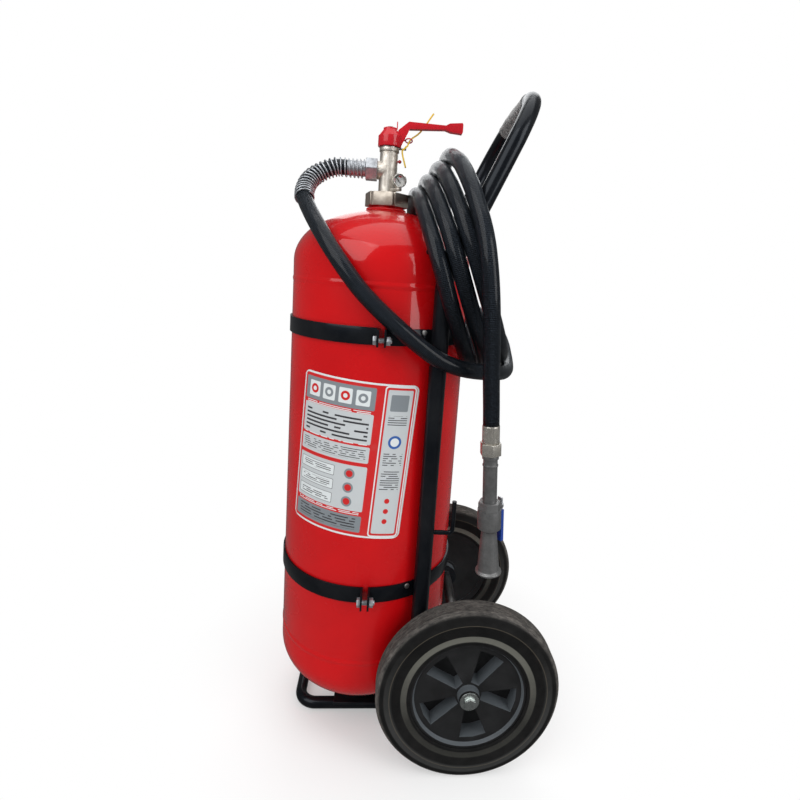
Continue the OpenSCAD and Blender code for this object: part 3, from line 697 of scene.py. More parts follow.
@dataclass(frozen=True)
class CrinkledFilm(Finish):
    """Greyish clear wrap over the handle's black paint."""

    name: str = "crinkled film"

    def build(self) -> bpy.types.Material:
        """Make the film: creases that catch the light over a dark tube.

        Returns:
            The material.
        """
        s = Shade(self.name)
        crease = s.noise(70.0, 8.0, 0.75)
        ridge = 1 - abs(crease - 0.5).step(0.0, 0.05)
        fold = s.noise(190.0, 6.0, 0.7)
        # ridges and folds are painted pale: partly the film's own grey, partly painted highlight where
        # creases catch light
        pale = ridge * 0.4 + fold.step(0.42, 0.66) * 0.55
        base = s.mix(pale, (0.07, 0.072, 0.074), (0.46, 0.455, 0.445))
        s.bump(ridge + fold, 0.0006, 0.7)
        return s.dress(Base_Color=base, Roughness=0.42 + 0.30 * fold, Specular_IOR_Level=0.35,
                       Coat_Weight=0.12, Coat_Roughness=0.2)


RED = GlossPaint("red enamel", (0.54, 0.004, 0.006), (0.46, 0.003, 0.005))
LEVER_RED = GlossPaint("lever red", (0.56, 0.012, 0.022), (0.46, 0.008, 0.016), 0.3, 0.00004)
BLACK = TubePaint()
NICKEL = Metal("cast nickel", (0.78, 0.735, 0.67), (0.56, 0.515, 0.45), 0.42, 0.00024, cloud_scale=130.0)
NUT_NICKEL = Metal("dull nickel", (0.54, 0.485, 0.42), (0.39, 0.345, 0.29), 0.38, cloud_scale=70.0)
ZINC = Metal("bright zinc", (0.56, 0.585, 0.62), (0.34, 0.36, 0.385), 0.32, cloud_scale=160.0,
             metallic=0.75)
BRIGHT = Metal("bright bolts", (0.66, 0.70, 0.68), (0.42, 0.45, 0.44), rough=0.2, cloud_scale=220.0)
PLATED = Metal("warm plating", (0.66, 0.635, 0.58), (0.48, 0.455, 0.405), 0.26, cloud_scale=120.0,
               metallic=0.85)
ALLOY = Metal("cast alloy", (0.27, 0.272, 0.272), (0.165, 0.167, 0.168), 0.42, 0.00012, metallic=0.8)
STEEL = Metal("plain steel", (0.50, 0.50, 0.50), (0.36, 0.35, 0.34), rough=0.3)
BRASS = Metal("brass", (0.66, 0.47, 0.20), (0.45, 0.31, 0.13), rough=0.25)
CHROME = Metal("gauge plating", (0.62, 0.60, 0.57), (0.42, 0.40, 0.37), rough=0.14, grain=0.00002)
RED_PLASTIC = Plastic("red plastic", (0.55, 0.012, 0.020), (0.42, 0.008, 0.014), 0.3, coat=0.3)
SEAL_PLASTIC = Plastic("seal plastic", (0.74, 0.49, 0.02), (0.62, 0.39, 0.015), 0.35)
BLUE_PLASTIC = Plastic("blue sleeve", (0.004, 0.045, 0.30), (0.003, 0.032, 0.22), 0.34, coat=0.1)
BLACK_RUBBER = Plastic("black rubber", (0.006, 0.006, 0.006), (0.015, 0.015, 0.015), 0.45, 0.00010, 700.0)
WHITE_PLASTIC = Plastic("white plastic", (0.75, 0.75, 0.73), (0.65, 0.65, 0.63), 0.35)
GASKET = Plastic("gasket rubber", (0.02, 0.02, 0.02), (0.03, 0.03, 0.03), 0.6)


# ------------------------------------------------------------------ mesh tools


def linked(name: str, data: Any) -> bpy.types.Object:
    """Put a mesh, lamp or camera in the scene.

    Args:
        name: The object's name.
        data: The mesh, lamp or camera.

    Returns:
        The object.
    """
    made = bpy.data.objects.new(name, data)
    bpy.context.scene.collection.objects.link(made)
    return made


def smooth(mesh: bpy.types.Mesh, sharp: float) -> None:
    """Shade a mesh smooth, but for edges of more than an angle in degrees."""
    mesh.polygons.foreach_set("use_smooth", [True] * len(mesh.polygons))
    mesh.set_sharp_from_angle(angle=math.radians(sharp))


def unit(rows: np.ndarray) -> np.ndarray:
    """Return each row at a length of one."""
    return rows / np.linalg.norm(rows, axis=1)[:, None]


def carry(path: np.ndarray) -> tuple[np.ndarray, np.ndarray]:
    """Carry two side vectors along a path without twist, the first from near +X.

    Args:
        path: The path's points.

    Returns:
        The two side vectors at every point.
    """
    along = unit(np.gradient(path, axis=0))
    side, sides = np.array((1.0, 0.0, 0.0)), []
    for t in along:
        side = side - side.dot(t) * t
        side = side / np.linalg.norm(side)
        sides.append(side)
    return np.array(sides), np.cross(along, sides)


def between(p: np.ndarray, i: int, t: float) -> np.ndarray:
    """Work out a point between two stops of a route that passes through all of them.

    Args:
        p: The stops.
        i: Number of the stop before the point.
        t: How far it is to the next one, from 0 to 1.

    Returns:
        The point.
    """
    b, c, n = p[i], p[i + 1], len(p) - 1
    a = p[i - 1] if i > 0 else 2 * b - c
    d = p[i + 2] if i + 2 <= n else 2 * c - b
    bend = a - 2.5 * b + 2 * c - 0.5 * d
    swing = -0.5 * a + 1.5 * b - 1.5 * c + 0.5 * d
    return b + 0.5 * t * (c - a) + t * t * bend + t ** 3 * swing


def route(stops: Sequence[Sequence[float]], k: int) -> np.ndarray:
    """Return a smooth run through the stops, with k steps from each to the next."""
    p = np.array(stops, dtype=float)
    return np.array([between(p, i, j / k) for i in range(len(p) - 1) for j in range(k)] + [p[-1]])


def turned(points: Any, at: Matrix) -> np.ndarray:
    """Return points carried by a matrix."""
    return np.array([tuple(at @ Vector(p)) for p in points])


class Forms:
    """Makes plain meshes and puts them in the scene."""

    @staticmethod
    def add(name: str, verts: Any, faces: Any, finish: Finish, body: str, replaces: Iterable[str] = (),
            maps: Optional[dict[str, Any]] = None, sharp: float = 180.0) -> bpy.types.Object:
        """Make an object from points and faces and let it ride on a body.

        Args:
            name: The object's name.
            verts: Its points.
            faces: Its faces as lists of point numbers.
            finish: Its finish.
            body: The body that carries it.
            replaces: Names of the nodes that it stands for.
            maps: UV maps, each with one pair for every corner of every face.
            sharp: Edges of more than this angle in degrees stay sharp.

        Returns:
            The object.
        """
        mesh = bpy.data.meshes.new(name)
        corners = [tuple(int(i) for i in f) for f in faces]
        mesh.from_pydata([tuple(map(float, v)) for v in verts], [], corners)
        for label, pairs in (maps or {}).items():
            layer = mesh.uv_layers.new(name=label)
            layer.data.foreach_set("uv", np.asarray(pairs, dtype=np.float32).ravel())
        work = bmesh.new()
        work.from_mesh(mesh)
        bmesh.ops.remove_doubles(work, verts=work.verts, dist=1e-7)
        bmesh.ops.dissolve_degenerate(work, edges=work.edges, dist=1e-8)
        bmesh.ops.recalc_face_normals(work, faces=work.faces)
        work.to_mesh(mesh)
        work.free()
        smooth(mesh, sharp)
        return Forms.settle(linked(name, mesh), finish, body, replaces)

    @staticmethod
    def settle(made: bpy.types.Object, finish: Finish, body: str,
               replaces: Iterable[str] = ()) -> bpy.types.Object:
        """Give an object its finish, its body and the nodes that it stands for.

        Args:
            made: The object.
            finish: Its finish.
            body: The body that carries it.
            replaces: Names of the nodes that it stands for.

        Returns:
            The object.
        """
        made.data.materials.clear()
        made.data.materials.append(finish.material())
        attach(made, body)
        if replaces:
            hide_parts(*replaces)
        log.info("%s rides on %s", made.name, body)
        return made

    @staticmethod
    def lathe(profile: Sequence[Sequence[float]], at: Matrix,
              sides: int) -> tuple[np.ndarray, list[list[int]]]:
        """Turn a profile of (radius, height) points about an axis.

        Args:
            profile: The points, going round the section anticlockwise.
            at: Where the axis's foot is and which way it points.
            sides: Steps round the axis.

        Returns:
            The points and the faces.
        """
        pts, count = [], len(profile)
        for i in range(sides):
            a = 2 * math.pi * i / sides
            pts += [at @ Vector((r * math.cos(a), r * math.sin(a), h)) for r, h in profile]
        faces = []
        for i in range(sides):
            for j in range(count):
                a, b = i * count + j, i * count + (j + 1) % count
                c, d = ((i + 1) % sides) * count + (j + 1) % count, ((i + 1) % sides) * count + j
                faces.append([a, d, c, b])
        return np.array([tuple(p) for p in pts]), faces

    @staticmethod
    def sweep(path: np.ndarray, radius: float, sides: int) -> tuple[np.ndarray, list[list[int]], np.ndarray]:
        """Carry a circle along a path, without twist, and close its ends.

        Args:
            path: The centre line's points.
            radius: The circle's radius.
            sides: Corners of the circle.

        Returns:
            The points, the faces and the map of turns and metres.
        """
        along = np.r_[0.0, np.cumsum(np.linalg.norm(np.diff(path, axis=0), axis=1))]
        u, v = carry(path)
        a = np.arange(sides) * 2 * math.pi / sides
        ring = np.cos(a)[None, :, None] * u[:, None, :] + np.sin(a)[None, :, None] * v[:, None, :]
        pts = (path[:, None, :] + radius * ring).reshape(-1, 3)
        faces, uv = [], []
        for i in range(len(path) - 1):
            for j in range(sides):
                k = (j + 1) % sides
                faces.append([i * sides + j, i * sides + k, (i + 1) * sides + k, (i + 1) * sides + j])
                uv += [(j / sides, along[i]), ((j + 1) / sides, along[i]),
                       ((j + 1) / sides, along[i + 1]), (j / sides, along[i + 1])]
        last = (len(path) - 1) * sides
        faces.append(list(range(sides))[::-1])
        faces.append([last + j for j in range(sides)])
        uv += [(0.0, 0.0)] * sides + [(0.0, along[-1])] * sides
        return pts, faces, np.array(uv)

    @staticmethod
    def soften(node: str, finish: Finish, body: str, bevel: float, steps: int = 2) -> bpy.types.Object:
        """Stand a bevelled copy of a node in its place.

        Args:
            node: The node that is copied.
            finish: The copy's finish.
            body: The body that it rides on.
            bevel: Width of the broken edges, in millimetres.
            steps: Segments of each broken edge.

        Returns:
            The copy.
        """
        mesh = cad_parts[node].data.copy()
        work = bmesh.new()
        work.from_mesh(mesh)
        bmesh.ops.remove_doubles(work, verts=work.verts, dist=MERGED_UNDER)
        bmesh.ops.dissolve_limit(work, angle_limit=math.radians(FLAT_UNDER), verts=work.verts,
                                 edges=work.edges)
        bmesh.ops.recalc_face_normals(work, faces=work.faces)
        if bevel > 0:
            least = math.radians(BROKEN_OVER)
            edges = [e for e in work.edges if len(e.link_faces) == 2 and e.calc_face_angle(0) > least]
            bmesh.ops.bevel(work, geom=edges, offset=bevel * MM, offset_type="OFFSET", segments=steps,
                            profile=0.5, affect="EDGES", clamp_overlap=True, loop_slide=True)
        work.to_mesh(mesh)
        work.free()
        smooth(mesh, SKIN_SHARP)
        return Forms.settle(linked(node + "_skin", mesh), finish, body, [node])


class FormTree:
    """A Geometry Nodes tree with named inputs, whose results are kept as plain meshes."""

    def __init__(self, name: str, inputs: Sequence[tuple[str, str, Any]]) -> None:
        """Open a tree that takes a shape, some sizes and a finish.

        Args:
            name: The tree's name.
            inputs: Name, kind and first value of each size.
        """
        self.tree = bpy.data.node_groups.new(name, "GeometryNodeTree")
        face = self.tree.interface
        face.new_socket("Geometry", in_out="INPUT", socket_type="NodeSocketGeometry")
        self.keys = {}
        for label, kind, value in (*inputs, ("Finish", "Material", None)):
            socket = face.new_socket(label, in_out="INPUT", socket_type="NodeSocket" + kind)
            if value is not None:
                socket.default_value = value
            self.keys[label] = socket.identifier
        face.new_socket("Geometry", in_out="OUTPUT", socket_type="NodeSocketGeometry")
        self.given = self.tree.nodes.new("NodeGroupInput").outputs

    def node(self, kind: str, feeds: dict[Any, Any], operation: str = "") -> Any:
        """Add a node and return its first output.

        Args:
            kind: The node's type.
            feeds: Its inputs, each with an output socket or a value.
            operation: What a maths node does.

        Returns:
            The first output socket, or None where it has none.
        """
        made = self.tree.nodes.new(kind)
        if operation:
            made.operation = operation
        for key, value in feeds.items():
            if isinstance(value, bpy.types.NodeSocket):
                self.tree.links.new(value, made.inputs[key])
            else:
                made.inputs[key].default_value = value
        return made.outputs[0] if len(made.outputs) else None

    def close(self, shape: Any) -> None:
        """End the tree with the shape made real, in its finish.

        Args:
            shape: The output socket of the shape.
        """
        real = self.node("GeometryNodeRealizeInstances", {0: shape})
        coat = self.node("GeometryNodeSetMaterial", {"Geometry": real, "Material": self.given["Finish"]})
        self.node("NodeGroupOutput", {0: coat})

    def keep(self, name: str, seed: Sequence[Any], finish: Finish, sizes: dict[str, Any],
             sharp: float) -> bpy.types.Object:
        """Run the tree on a small mesh and keep the result.

        Args:
            name: The result's name.
            seed: The small mesh's points, edges and faces.
            finish: The result's finish.
            sizes: A value for each of the tree's inputs.
            sharp: Edges of more than this angle in degrees stay sharp.

        Returns:
            The result as an object with a plain mesh.
        """
        points, edges, faces = seed
        mesh = bpy.data.meshes.new(name + "_seed")
        mesh.from_pydata([tuple(map(float, p)) for p in points], edges, faces)
        start = linked(name + "_seed", mesh)
        mod = start.modifiers.new("tree", "NODES")
        mod.node_group = self.tree
        for label, value in (*sizes.items(), ("Finish", finish.material())):
            mod[self.keys[label]] = value
        start.update_tag()
        bpy.context.view_layer.update()
        full = bpy.data.meshes.new_from_object(start.evaluated_get(bpy.context.evaluated_depsgraph_get()))
        bpy.data.objects.remove(start)
        full.name = name
        work = bmesh.new()
        work.from_mesh(full)
        bmesh.ops.recalc_face_normals(work, faces=work.faces)
        work.to_mesh(full)
        work.free()
        smooth(full, sharp)
        return linked(name, full)


class RingArray(FormTree):
    """A tree that repeats a piece, with a turn about Z from each copy to the next."""

    def __init__(self) -> None:
        """Build the tree with its named inputs."""
        super().__init__("ring array", (("Count", "Int", 12), ("Turn", "Vector", (0.0, 0.0, 0.0))))
        index = self.node("GeometryNodeInputIndex", {})
        turn = self.node("ShaderNodeVectorMath", {0: self.given["Turn"], "Scale": index}, "SCALE")
        line = self.node("GeometryNodeMeshLine", {"Count": self.given["Count"], "Offset": (0.0, 0.0, 0.0)})
        self.close(self.node("GeometryNodeInstanceOnPoints",
                             {"Points": line, "Instance": self.given["Geometry"], "Rotation": turn}))

    def repeat(self, name: str, seed: Sequence[Any], finish: Finish, body: str,
               count: int) -> bpy.types.Object:
        """Repeat a small mesh all round the tank's axis.

        Args:
            name: The result's name.
            seed: The first copy's points, edges and faces, in place.
            finish: Its finish.
            body: The body that carries the result.
            count: Number of copies.

        Returns:
            The repeated piece.
        """
        sizes = {"Count": count, "Turn": (0.0, 0.0, 2 * math.pi / count)}
        return Forms.settle(self.keep(name, seed, finish, sizes, RING_SHARP), finish, body)


class PathTube(FormTree):
    """A tree that carries a round section along a line."""

    def __init__(self) -> None:
        """Build the tree with its named inputs."""
        super().__init__("path tube", (("Radius", "Float", 0.01), ("Sides", "Int", 24)))
        line = self.node("GeometryNodeMeshToCurve", {"Mesh": self.given["Geometry"]})
        ring = self.node("GeometryNodeCurvePrimitiveCircle",
                         {"Radius": self.given["Radius"], "Resolution": self.given["Sides"]})
        self.close(self.node("GeometryNodeCurveToMesh",
                             {"Curve": line, "Profile Curve": ring, "Fill Caps": True}))

    def run(self, name: str, path: Any, radius: float, sides: int, finish: Finish,
            replaces: str) -> bpy.types.Object:
        """Make a tube of the frame along a path.

        Args:
            name: The tube's name.
            path: The points of its centre line, in metres.
            radius: Its radius.
            sides: Corners of its section.
            finish: Its finish.
            replaces: The node that it stands for.

        Returns:
            The tube.
        """
        seed = (path, [(i, i + 1) for i in range(len(path) - 1)], [])
        made = self.keep(name, seed, finish, {"Radius": float(radius), "Sides": sides}, TUBE_SHARP)
        return Forms.settle(made, finish, "frame", [replaces])


# ------------------------------------------------------------------- the parts


@dataclass
class Hose:
    """The free hose from the valve to the nozzle, and the spring round its start.

    The stops of the lead, the tail and the spring's start and all sizes of the
    coil are in millimetres. A pair is for Y and Z, or for width and height.
    """

    diameter: float = 0.025
    sides: int = 28
    exit: Point = (0.0, -0.068, 0.978)
    lead: tuple = ((0, -68, 978), (0, -84, 978), (2, -99, 973), (5, -113, 965), (12, -124, 955),
                   (21, -130, 944), (32, -132, 932), (44, -131, 922), (56, -127, 912), (86, -113, 891),
                   (115, -97, 869), (139, -78, 843), (155, -56, 815), (163, -31, 785), (167, -4, 759),
                   (170, 25, 735), (169, 57, 710), (165, 92, 687), (154, 128, 674), (134, 161, 667),
                   (106, 188, 662), (73, 210, 657), (36, 225, 656), (-2, 234, 660), (-39, 239, 671),
                   (-75, 241, 687), (-111, 237, 705), (-144, 224, 721), (-173, 203, 739), (-193, 174, 757),
                   (-204, 141, 776), (-202, 109, 799), (-188, 82, 825), (-165, 64, 852), (-137, 56, 878))
    tail: tuple = ((107, 110, 978), (154, 122, 938), (170.5, 129.5, 912), (184, 137, 886), (194.5, 143, 859),
                   (200.5, 148, 829), (202, 153, 796), (200, 158, 757), (194, 163, 715), (187, 168, 666),
                   (181, 173, 625), (178, 176, 595.6))
    stop_steps: int = 3
    coil_from: float = -40.0
    coil_to: float = 1100.0
    coil_steps: int = 152
    coil_at: Pair = (89.0, 790.5)
    coil_step: Pair = (21.0, 18.0)
    coil_half: Pair = (166.0, 157.0)
    coil_grow: Pair = (4.0, 5.0)
    coil_lean: float = 17.0
    foot_push: float = 16.0
    top_push: float = 5.0
    wire: float = 0.0026
    turns: int = 22
    turn_steps: int = 14
    wire_sides: int = 8
    spring_start: tuple = ((0, -39.1, 978), (0, -53, 978))
    spring_stops: int = 10
    spring_reach: float = 9.7
    spring_gap: float = 0.0009

    def coil(self, turn: float) -> Point:
        """Work out a point of the coil.

        Args:
            turn: Where it is, in degrees from the top of the first turn.

        Returns:
            The point, in millimetres.
        """
        u, c, s = turn / 360, math.cos(math.radians(turn)), math.sin(math.radians(turn))
        wide, high = (half + grow * u for half, grow in zip(self.coil_half, self.coil_grow))
        y, z = (at + step * u for at, step in zip(self.coil_at, self.coil_step))
        lean = math.radians(self.coil_lean + u)
        push = self.foot_push * max(0, -c) ** 2 + self.top_push * max(0, c) ** 4
        return wide * s, y - high * c * math.sin(lean) + push, z + high * c * math.cos(lean)

    def path(self) -> np.ndarray:
        """Work out the hose's centre line.

        Returns:
            Its points from the valve to the nozzle, in metres.
        """
        span = self.coil_to - self.coil_from
        coil = [self.coil(self.coil_from + span * i / self.coil_steps) for i in range(self.coil_steps + 1)]
        lead = route([*self.lead, coil[0]], self.stop_steps)[:-1]
        tail = route([coil[-1], *self.tail], self.stop_steps)[1:]
        return np.concatenate([lead, np.array(coil), tail]) * MM

    def build(self) -> bpy.types.Object:
        """Make the hose as one tube.

        Returns:
            The hose.
        """
        pts, faces, uv = Forms.sweep(self.path(), self.diameter / 2, self.sides)
        return Forms.add("hose", pts, faces, HoseSkin(), "frame", ["hose_lead", "hose_coil", "hose_tail"],
                         {"run": uv})

    def spring(self, tubes: PathTube) -> bpy.types.Object:
        """Wind the guard spring round the hose's first stretch.

        Args:
            tubes: The tree that makes tubes.

        Returns:
            The spring.
        """
        stops = np.array([*self.spring_start, *self.lead[:self.spring_stops]], dtype=float)
        count = self.turns * self.turn_steps
        middle = []
        for i in range(count + 1):
            along = i / count * self.spring_reach
            middle.append(between(stops, int(along), along - int(along)))
        middle = np.array(middle) * MM
        side, cross = carry(middle)
        turn = 2 * math.pi * np.arange(count + 1)[:, None] / self.turn_steps
        reach = self.diameter / 2 + self.spring_gap + self.wire / 2
        path = middle + reach * (np.cos(turn) * side + np.sin(turn) * cross)
        return tubes.run("guard_coil", path, self.wire / 2, self.wire_sides, ZINC, "guard_spring")

    def declare(self) -> None:
        """Work out the hose's centre line, and do nothing with it.
        """
        path = self.path()


@dataclass
class Tank:
    """The pressure tank, its neck and the film wrapped half round it."""

    radius: float = 0.150
    low: float = 0.141
    high: float = 0.820
    head: float = 0.093
    head_step: int = 3
    sides: int = 192
    seam_in: float = 0.030
    seam_step: float = 0.0011
    seam_high: float = 0.0007
    seam_half: float = 0.0026
    groove_deep: float = 0.00035
    groove_at: float = 0.0056
    groove_half: float = 0.0012
    neck: float = 0.030
    neck_gap: float = 0.0002
    neck_sides: int = 96
    foot: float = 0.898
    shoulder: float = 0.9111
    top: float = 0.930
    beads: int = 88
    bead_r: float = 0.0312
    bead_z: float = 0.9120
    bead_half: Point = (0.0030, 0.0022, 0.0030)
    label_turn: float = -13.5
    label_tilt: float = 3.7
    label_z: float = 0.5213
    label_w: float = 0.0904
    label_h: float = 0.125
    label_corner: float = 0.009
    label_cols: int = 61
    label_rows: int = 25
    label_lift: Pair = (0.00042, 0.0001)

    def swell(self, h: float) -> float:
        """Work out how far a girth weld and the grooves beside it stand out.

        Args:
            h: Height over the weld's middle.

        Returns:
            The distance from the plain shell.
        """
        weld = self.seam_high * math.exp(-(h / self.seam_half) ** 2)
        return weld - self.groove_deep * math.exp(-((abs(h) - self.groove_at) / self.groove_half) ** 2)

    def skin(self) -> bpy.types.Object:
        """Turn the painted shell with its two girth welds.

        Returns:
            The shell.
        """
        profile = [(0.0, self.low - self.head)]
        for degrees in range(self.head_step - 90, 1, self.head_step):
            a = math.radians(degrees)
            profile.append((self.radius * math.cos(a), self.low + self.head * math.sin(a)))
        for seam in (self.low + self.seam_in, self.high - self.seam_in):
            for h in (k * self.seam_step for k in range(-6, 7)):
                profile.append((self.radius + self.swell(h), seam + h))
        hole = self.neck + self.neck_gap
        for degrees in range(0, 90, self.head_step):
            a = math.radians(degrees)
            if self.radius * math.cos(a) > hole:
                profile.append((self.radius * math.cos(a), self.high + self.head * math.sin(a)))
        profile += [(hole, self.shoulder), (hole, self.foot), (0.0, self.foot)]
        pts, faces = Forms.lathe(profile, Matrix.Identity(4), self.sides)
        return Forms.add("tank_skin", pts, faces, RED, "frame", ["tank"])

    def neck_skin(self, rings: RingArray) -> bpy.types.Object:
        """Turn the neck ring and lay the rippled weld at its foot.

        Args:
            rings: The tree that repeats a piece.

        Returns:
            The neck ring.
        """
        seed = bmesh.new()
        bmesh.ops.create_icosphere(seed, subdivisions=2, radius=1.0)
        x, y, z = self.bead_half
        bead = [(self.bead_r + x * v.co.x, y * v.co.y, self.bead_z + z * v.co.z) for v in seed.verts]
        form = [[v.index for v in f.verts] for f in seed.faces]
        seed.free()
        rings.repeat("neck_weld", (bead, [], form), RED, "frame", self.beads)
        profile = [(0.021, 0.897), (0.030, 0.897), (0.030, 0.9150), (0.0290, 0.9156), (0.0288, 0.9168),
                   (0.0300, 0.9175), (0.030, 0.9293), (0.0293, self.top), (0.021, self.top)]
        pts, faces = Forms.lathe(profile, Matrix.Identity(4), self.neck_sides)
        return Forms.add("neck_skin", pts, faces, RED, "frame", ["neck_ring"], sharp=35)

    def film(self) -> bpy.types.Object:
        """Lay the printed film with rounded corners round the tank.

        Returns:
            The film.
        """
        corner, cols = self.label_corner, self.label_cols
        straight = self.label_h - corner
        edge = [straight + corner * math.sin(math.radians(a)) for a in (90, 75, 60, 45, 30, 15, 0)]
        rows = [-b for b in edge] + list(np.linspace(-straight, straight, self.label_rows))[1:-1] + edge[::-1]
        c, s = math.cos(math.radians(self.label_tilt)), math.sin(math.radians(self.label_tilt))
        turn = Matrix.Rotation(math.radians(self.label_turn), 3, "Z")
        sheets, flat = [], []
        for r in (self.radius + lift for lift in self.label_lift):
            for b in rows:
                over = max(0.0, abs(b) - straight)
                wide = self.label_w - corner + math.sqrt(max(0.0, corner ** 2 - over ** 2))
                for j in range(cols):
                    a = wide * (2 * j / (cols - 1) - 1)
                    y, z = a * c + b * s, self.label_z - a * s + b * c
                    sheets.append(turn @ Vector((math.sqrt(r * r - y * y), y, z)))
                    flat.append((r * math.asin(a / r), b))
        n, per = len(rows), len(rows) * cols
        faces = []
        for i in range(n - 1):
            for j in range(cols - 1):
                k = i * cols + j
                faces.append([k, k + 1, k + cols + 1, k + cols])
                faces.append([per + k, per + k + cols, per + k + cols + 1, per + k + 1])
        rim = [j for j in range(cols)] + [i * cols + cols - 1 for i in range(1, n)]
        rim += [(n - 1) * cols + j for j in range(cols - 2, -1, -1)] + [i * cols for i in range(n - 2, 0, -1)]
        for p, q in zip(rim, rim[1:] + rim[:1]):
            faces.append([q, p, per + p, per + q])
        uv = [flat[i] for f in faces for i in f]
        return Forms.add("label_film", sheets, faces, PrintedFilm(), "frame", ["label"], {"sheet": uv})


@dataclass
class Valve:
    """The valve on the neck: body, nuts, lever, pin, seal and gauge.

    The stops of the seal's strap are in millimetres.
    """

    gauge_at: Point = (0.024, 0.019, 0.9599)
    gauge_turn: float = 18.0
    gauge_r: float = 0.0115
    gauge_wall: float = 0.0016
    gauge_sides: int = 64
    face_span: Pair = (-0.0024, -0.0018)
    lens_span: Pair = (0.0022, 0.0036)
    lens_dome: float = 0.0008
    strap_stops: tuple = ((-9, 71, 1079), (-7.5, 51, 1048), (-2.6, 36, 1033.5), (0, 31.4, 1025.5),
                          (4.6, 29.5, 1020), (6.4, 24.5, 1014.5), (6.6, 21.5, 1008.5), (8, 28.5, 984))
    strap_steps: int = 8
    strap_r: float = 0.0008
    strap_thin: float = 0.6
    strap_wide: float = 1.7
    strap_sides: int = 12

    def build(self) -> None:
        """Dress every piece of the valve."""
        Forms.soften("valve_body", NICKEL, "frame", 0.5)
        Forms.soften("union_nut", NUT_NICKEL, "frame", 0.9)
        Forms.soften("gland_nut", NICKEL, "frame", 0.3)
        Forms.soften("stop_plate", STEEL, "frame", 0.2)
        Forms.soften("valve_lever", LEVER_RED, "lever", 1.8, 4)
        Forms.soften("stem_nut", BLACK_RUBBER, "lever", 0.4)
        Forms.soften("safety_pin", RED_PLASTIC, "pin", 0.0)
        Forms.soften("bleed_plug", RED_PLASTIC, "frame", 0.2)
        self.strap()
        self.gauge()

    def strap(self) -> bpy.types.Object:
        """Run the seal's thin ribbon from the lever through the pin's ring.

        Returns:
            The ribbon.
        """
        path = route(self.strap_stops, self.strap_steps) * MM
        pts, faces, _ = Forms.sweep(path, self.strap_r, self.strap_sides)
        broad = unit(np.cross(unit(np.gradient(path, axis=0)), (1.0, 0.0, 0.0)))
        centre, broad = (np.repeat(rows, self.strap_sides, axis=0) for rows in (path, broad))
        out = pts - centre
        share = (out * broad).sum(axis=1)[:, None] * broad
        pts = centre + (out - share) * self.strap_thin + share * self.strap_wide
        return Forms.add("seal_ribbon", pts, faces, SEAL_PLASTIC, "pin", ["seal_strap"])

    def gauge(self) -> None:
        """Build the gauge's case, face, needle and lens."""
        turn, half_pi, r = math.radians(self.gauge_turn), math.pi / 2, self.gauge_r - self.gauge_wall
        aim = Matrix.Rotation(turn, 4, "Z") @ Matrix.Rotation(half_pi, 4, "Y")
        at = Matrix.Translation(self.gauge_at) @ aim
        Forms.soften("gauge_case", CHROME, "frame", 0.5, 3)
        low, high = self.face_span
        pts, faces = Forms.lathe([(0.0, low), (r, low), (r, high), (0.0, high)], at, self.gauge_sides)
        right = Vector((-math.sin(turn), math.cos(turn), 0.0))
        flat = [((Vector(p) - Vector(self.gauge_at)).dot(right), p[2] - self.gauge_at[2]) for p in pts]
        Forms.add("gauge_face", pts, faces, DialPrint(), "frame", ["gauge_dial"],
                  {"face": [flat[i] for f in faces for i in f]}, sharp=0)
        Forms.soften("gauge_needle", BLACK_RUBBER, "needle", 0.0)
        low, high = self.lens_span
        dome = [(r * math.cos(a), high + self.lens_dome * math.sin(a)) for a in np.linspace(0.15, half_pi, 8)]
        pts, faces = Forms.lathe([(0.0, low), (r, low), (r, high), *dome], at, self.gauge_sides)
        Forms.add("gauge_glass", pts, faces, Lens(), "frame", ["gauge_lens"])


@dataclass
class Nozzle:
    """The shut-off nozzle that hangs from the hose's end.

    The span and the fade of the ferrule's flutes are in millimetres.
    """

    top: Point = (0.178, 0.176, 0.5956)
    lean: float = 4.0
    sides: int = 160
    flutes: int = 16
    flute_deep: float = 0.0007
    flute_span: Pair = (2.0, 23.5)
    flute_fade: float = 3.0

    def ferrule(self) -> bpy.types.Object:
        """Turn the ferrule, pressed on in long flutes with a plain collar below.

        Returns:
            The ferrule.
        """
        at = Matrix.Translation(self.top) @ Matrix.Rotation(math.pi + math.radians(self.lean), 4, "X")
        profile = [(8.6, 0.2), (12.4, 0.0), (13.0, 0.6), (13.2, 2.0), (13.2, 4.0), (13.2, 7.0), (13.2, 12.0),
                   (13.2, 17.0), (13.2, 21.0), (13.2, 23.5), (13.2, 25.5), (12.9, 26.6), (12.2, 27.0),
                   (8.0, 27.0), (8.0, 36.0), (7.6, 36.0)]
        pts, faces = Forms.lathe([(r * MM, h * MM) for r, h in profile], at, self.sides)
        low, high = self.flute_span
        for i in range(self.sides):
            a = 2 * math.pi * i / self.sides
            groove = max(0.0, math.cos(self.flutes * a)) ** 2
            for j, (r, h) in enumerate(profile):
                fade = min(1.0, max(0.0, (h - low) / self.flute_fade), max(0.0, (high - h) / self.flute_fade))
                reach = r * MM - self.flute_deep * groove * fade
                spot = at @ Vector((reach * math.cos(a), reach * math.sin(a), h * MM))
                pts[i * len(profile) + j] = tuple(spot)
        return Forms.add("crimped_ferrule", pts, faces, PLATED, "frame", ["nozzle_ferrule"])

    def build(self) -> list[Any]:
        """Dress the nozzle's pieces.

        Returns:
            Those within reach of the hose.
        """
        near = [self.ferrule(), Forms.soften("nozzle_nut", PLATED, "frame", 0.5),
                Forms.soften("nozzle_pipe", ALLOY, "frame", 0.8, 3)]
        Forms.soften("nozzle_body", ALLOY, "frame", 0.9, 3)
        Forms.soften("nozzle_cone", ALLOY, "frame", 0.6, 3)
        Forms.soften("nozzle_stem", ZINC, "shut_off", 0.3)
        Forms.soften("nozzle_lever", ZINC, "shut_off", 0.5)
        Forms.soften("lever_sleeve", BLUE_PLASTIC, "shut_off", 1.6, 4)
        return near


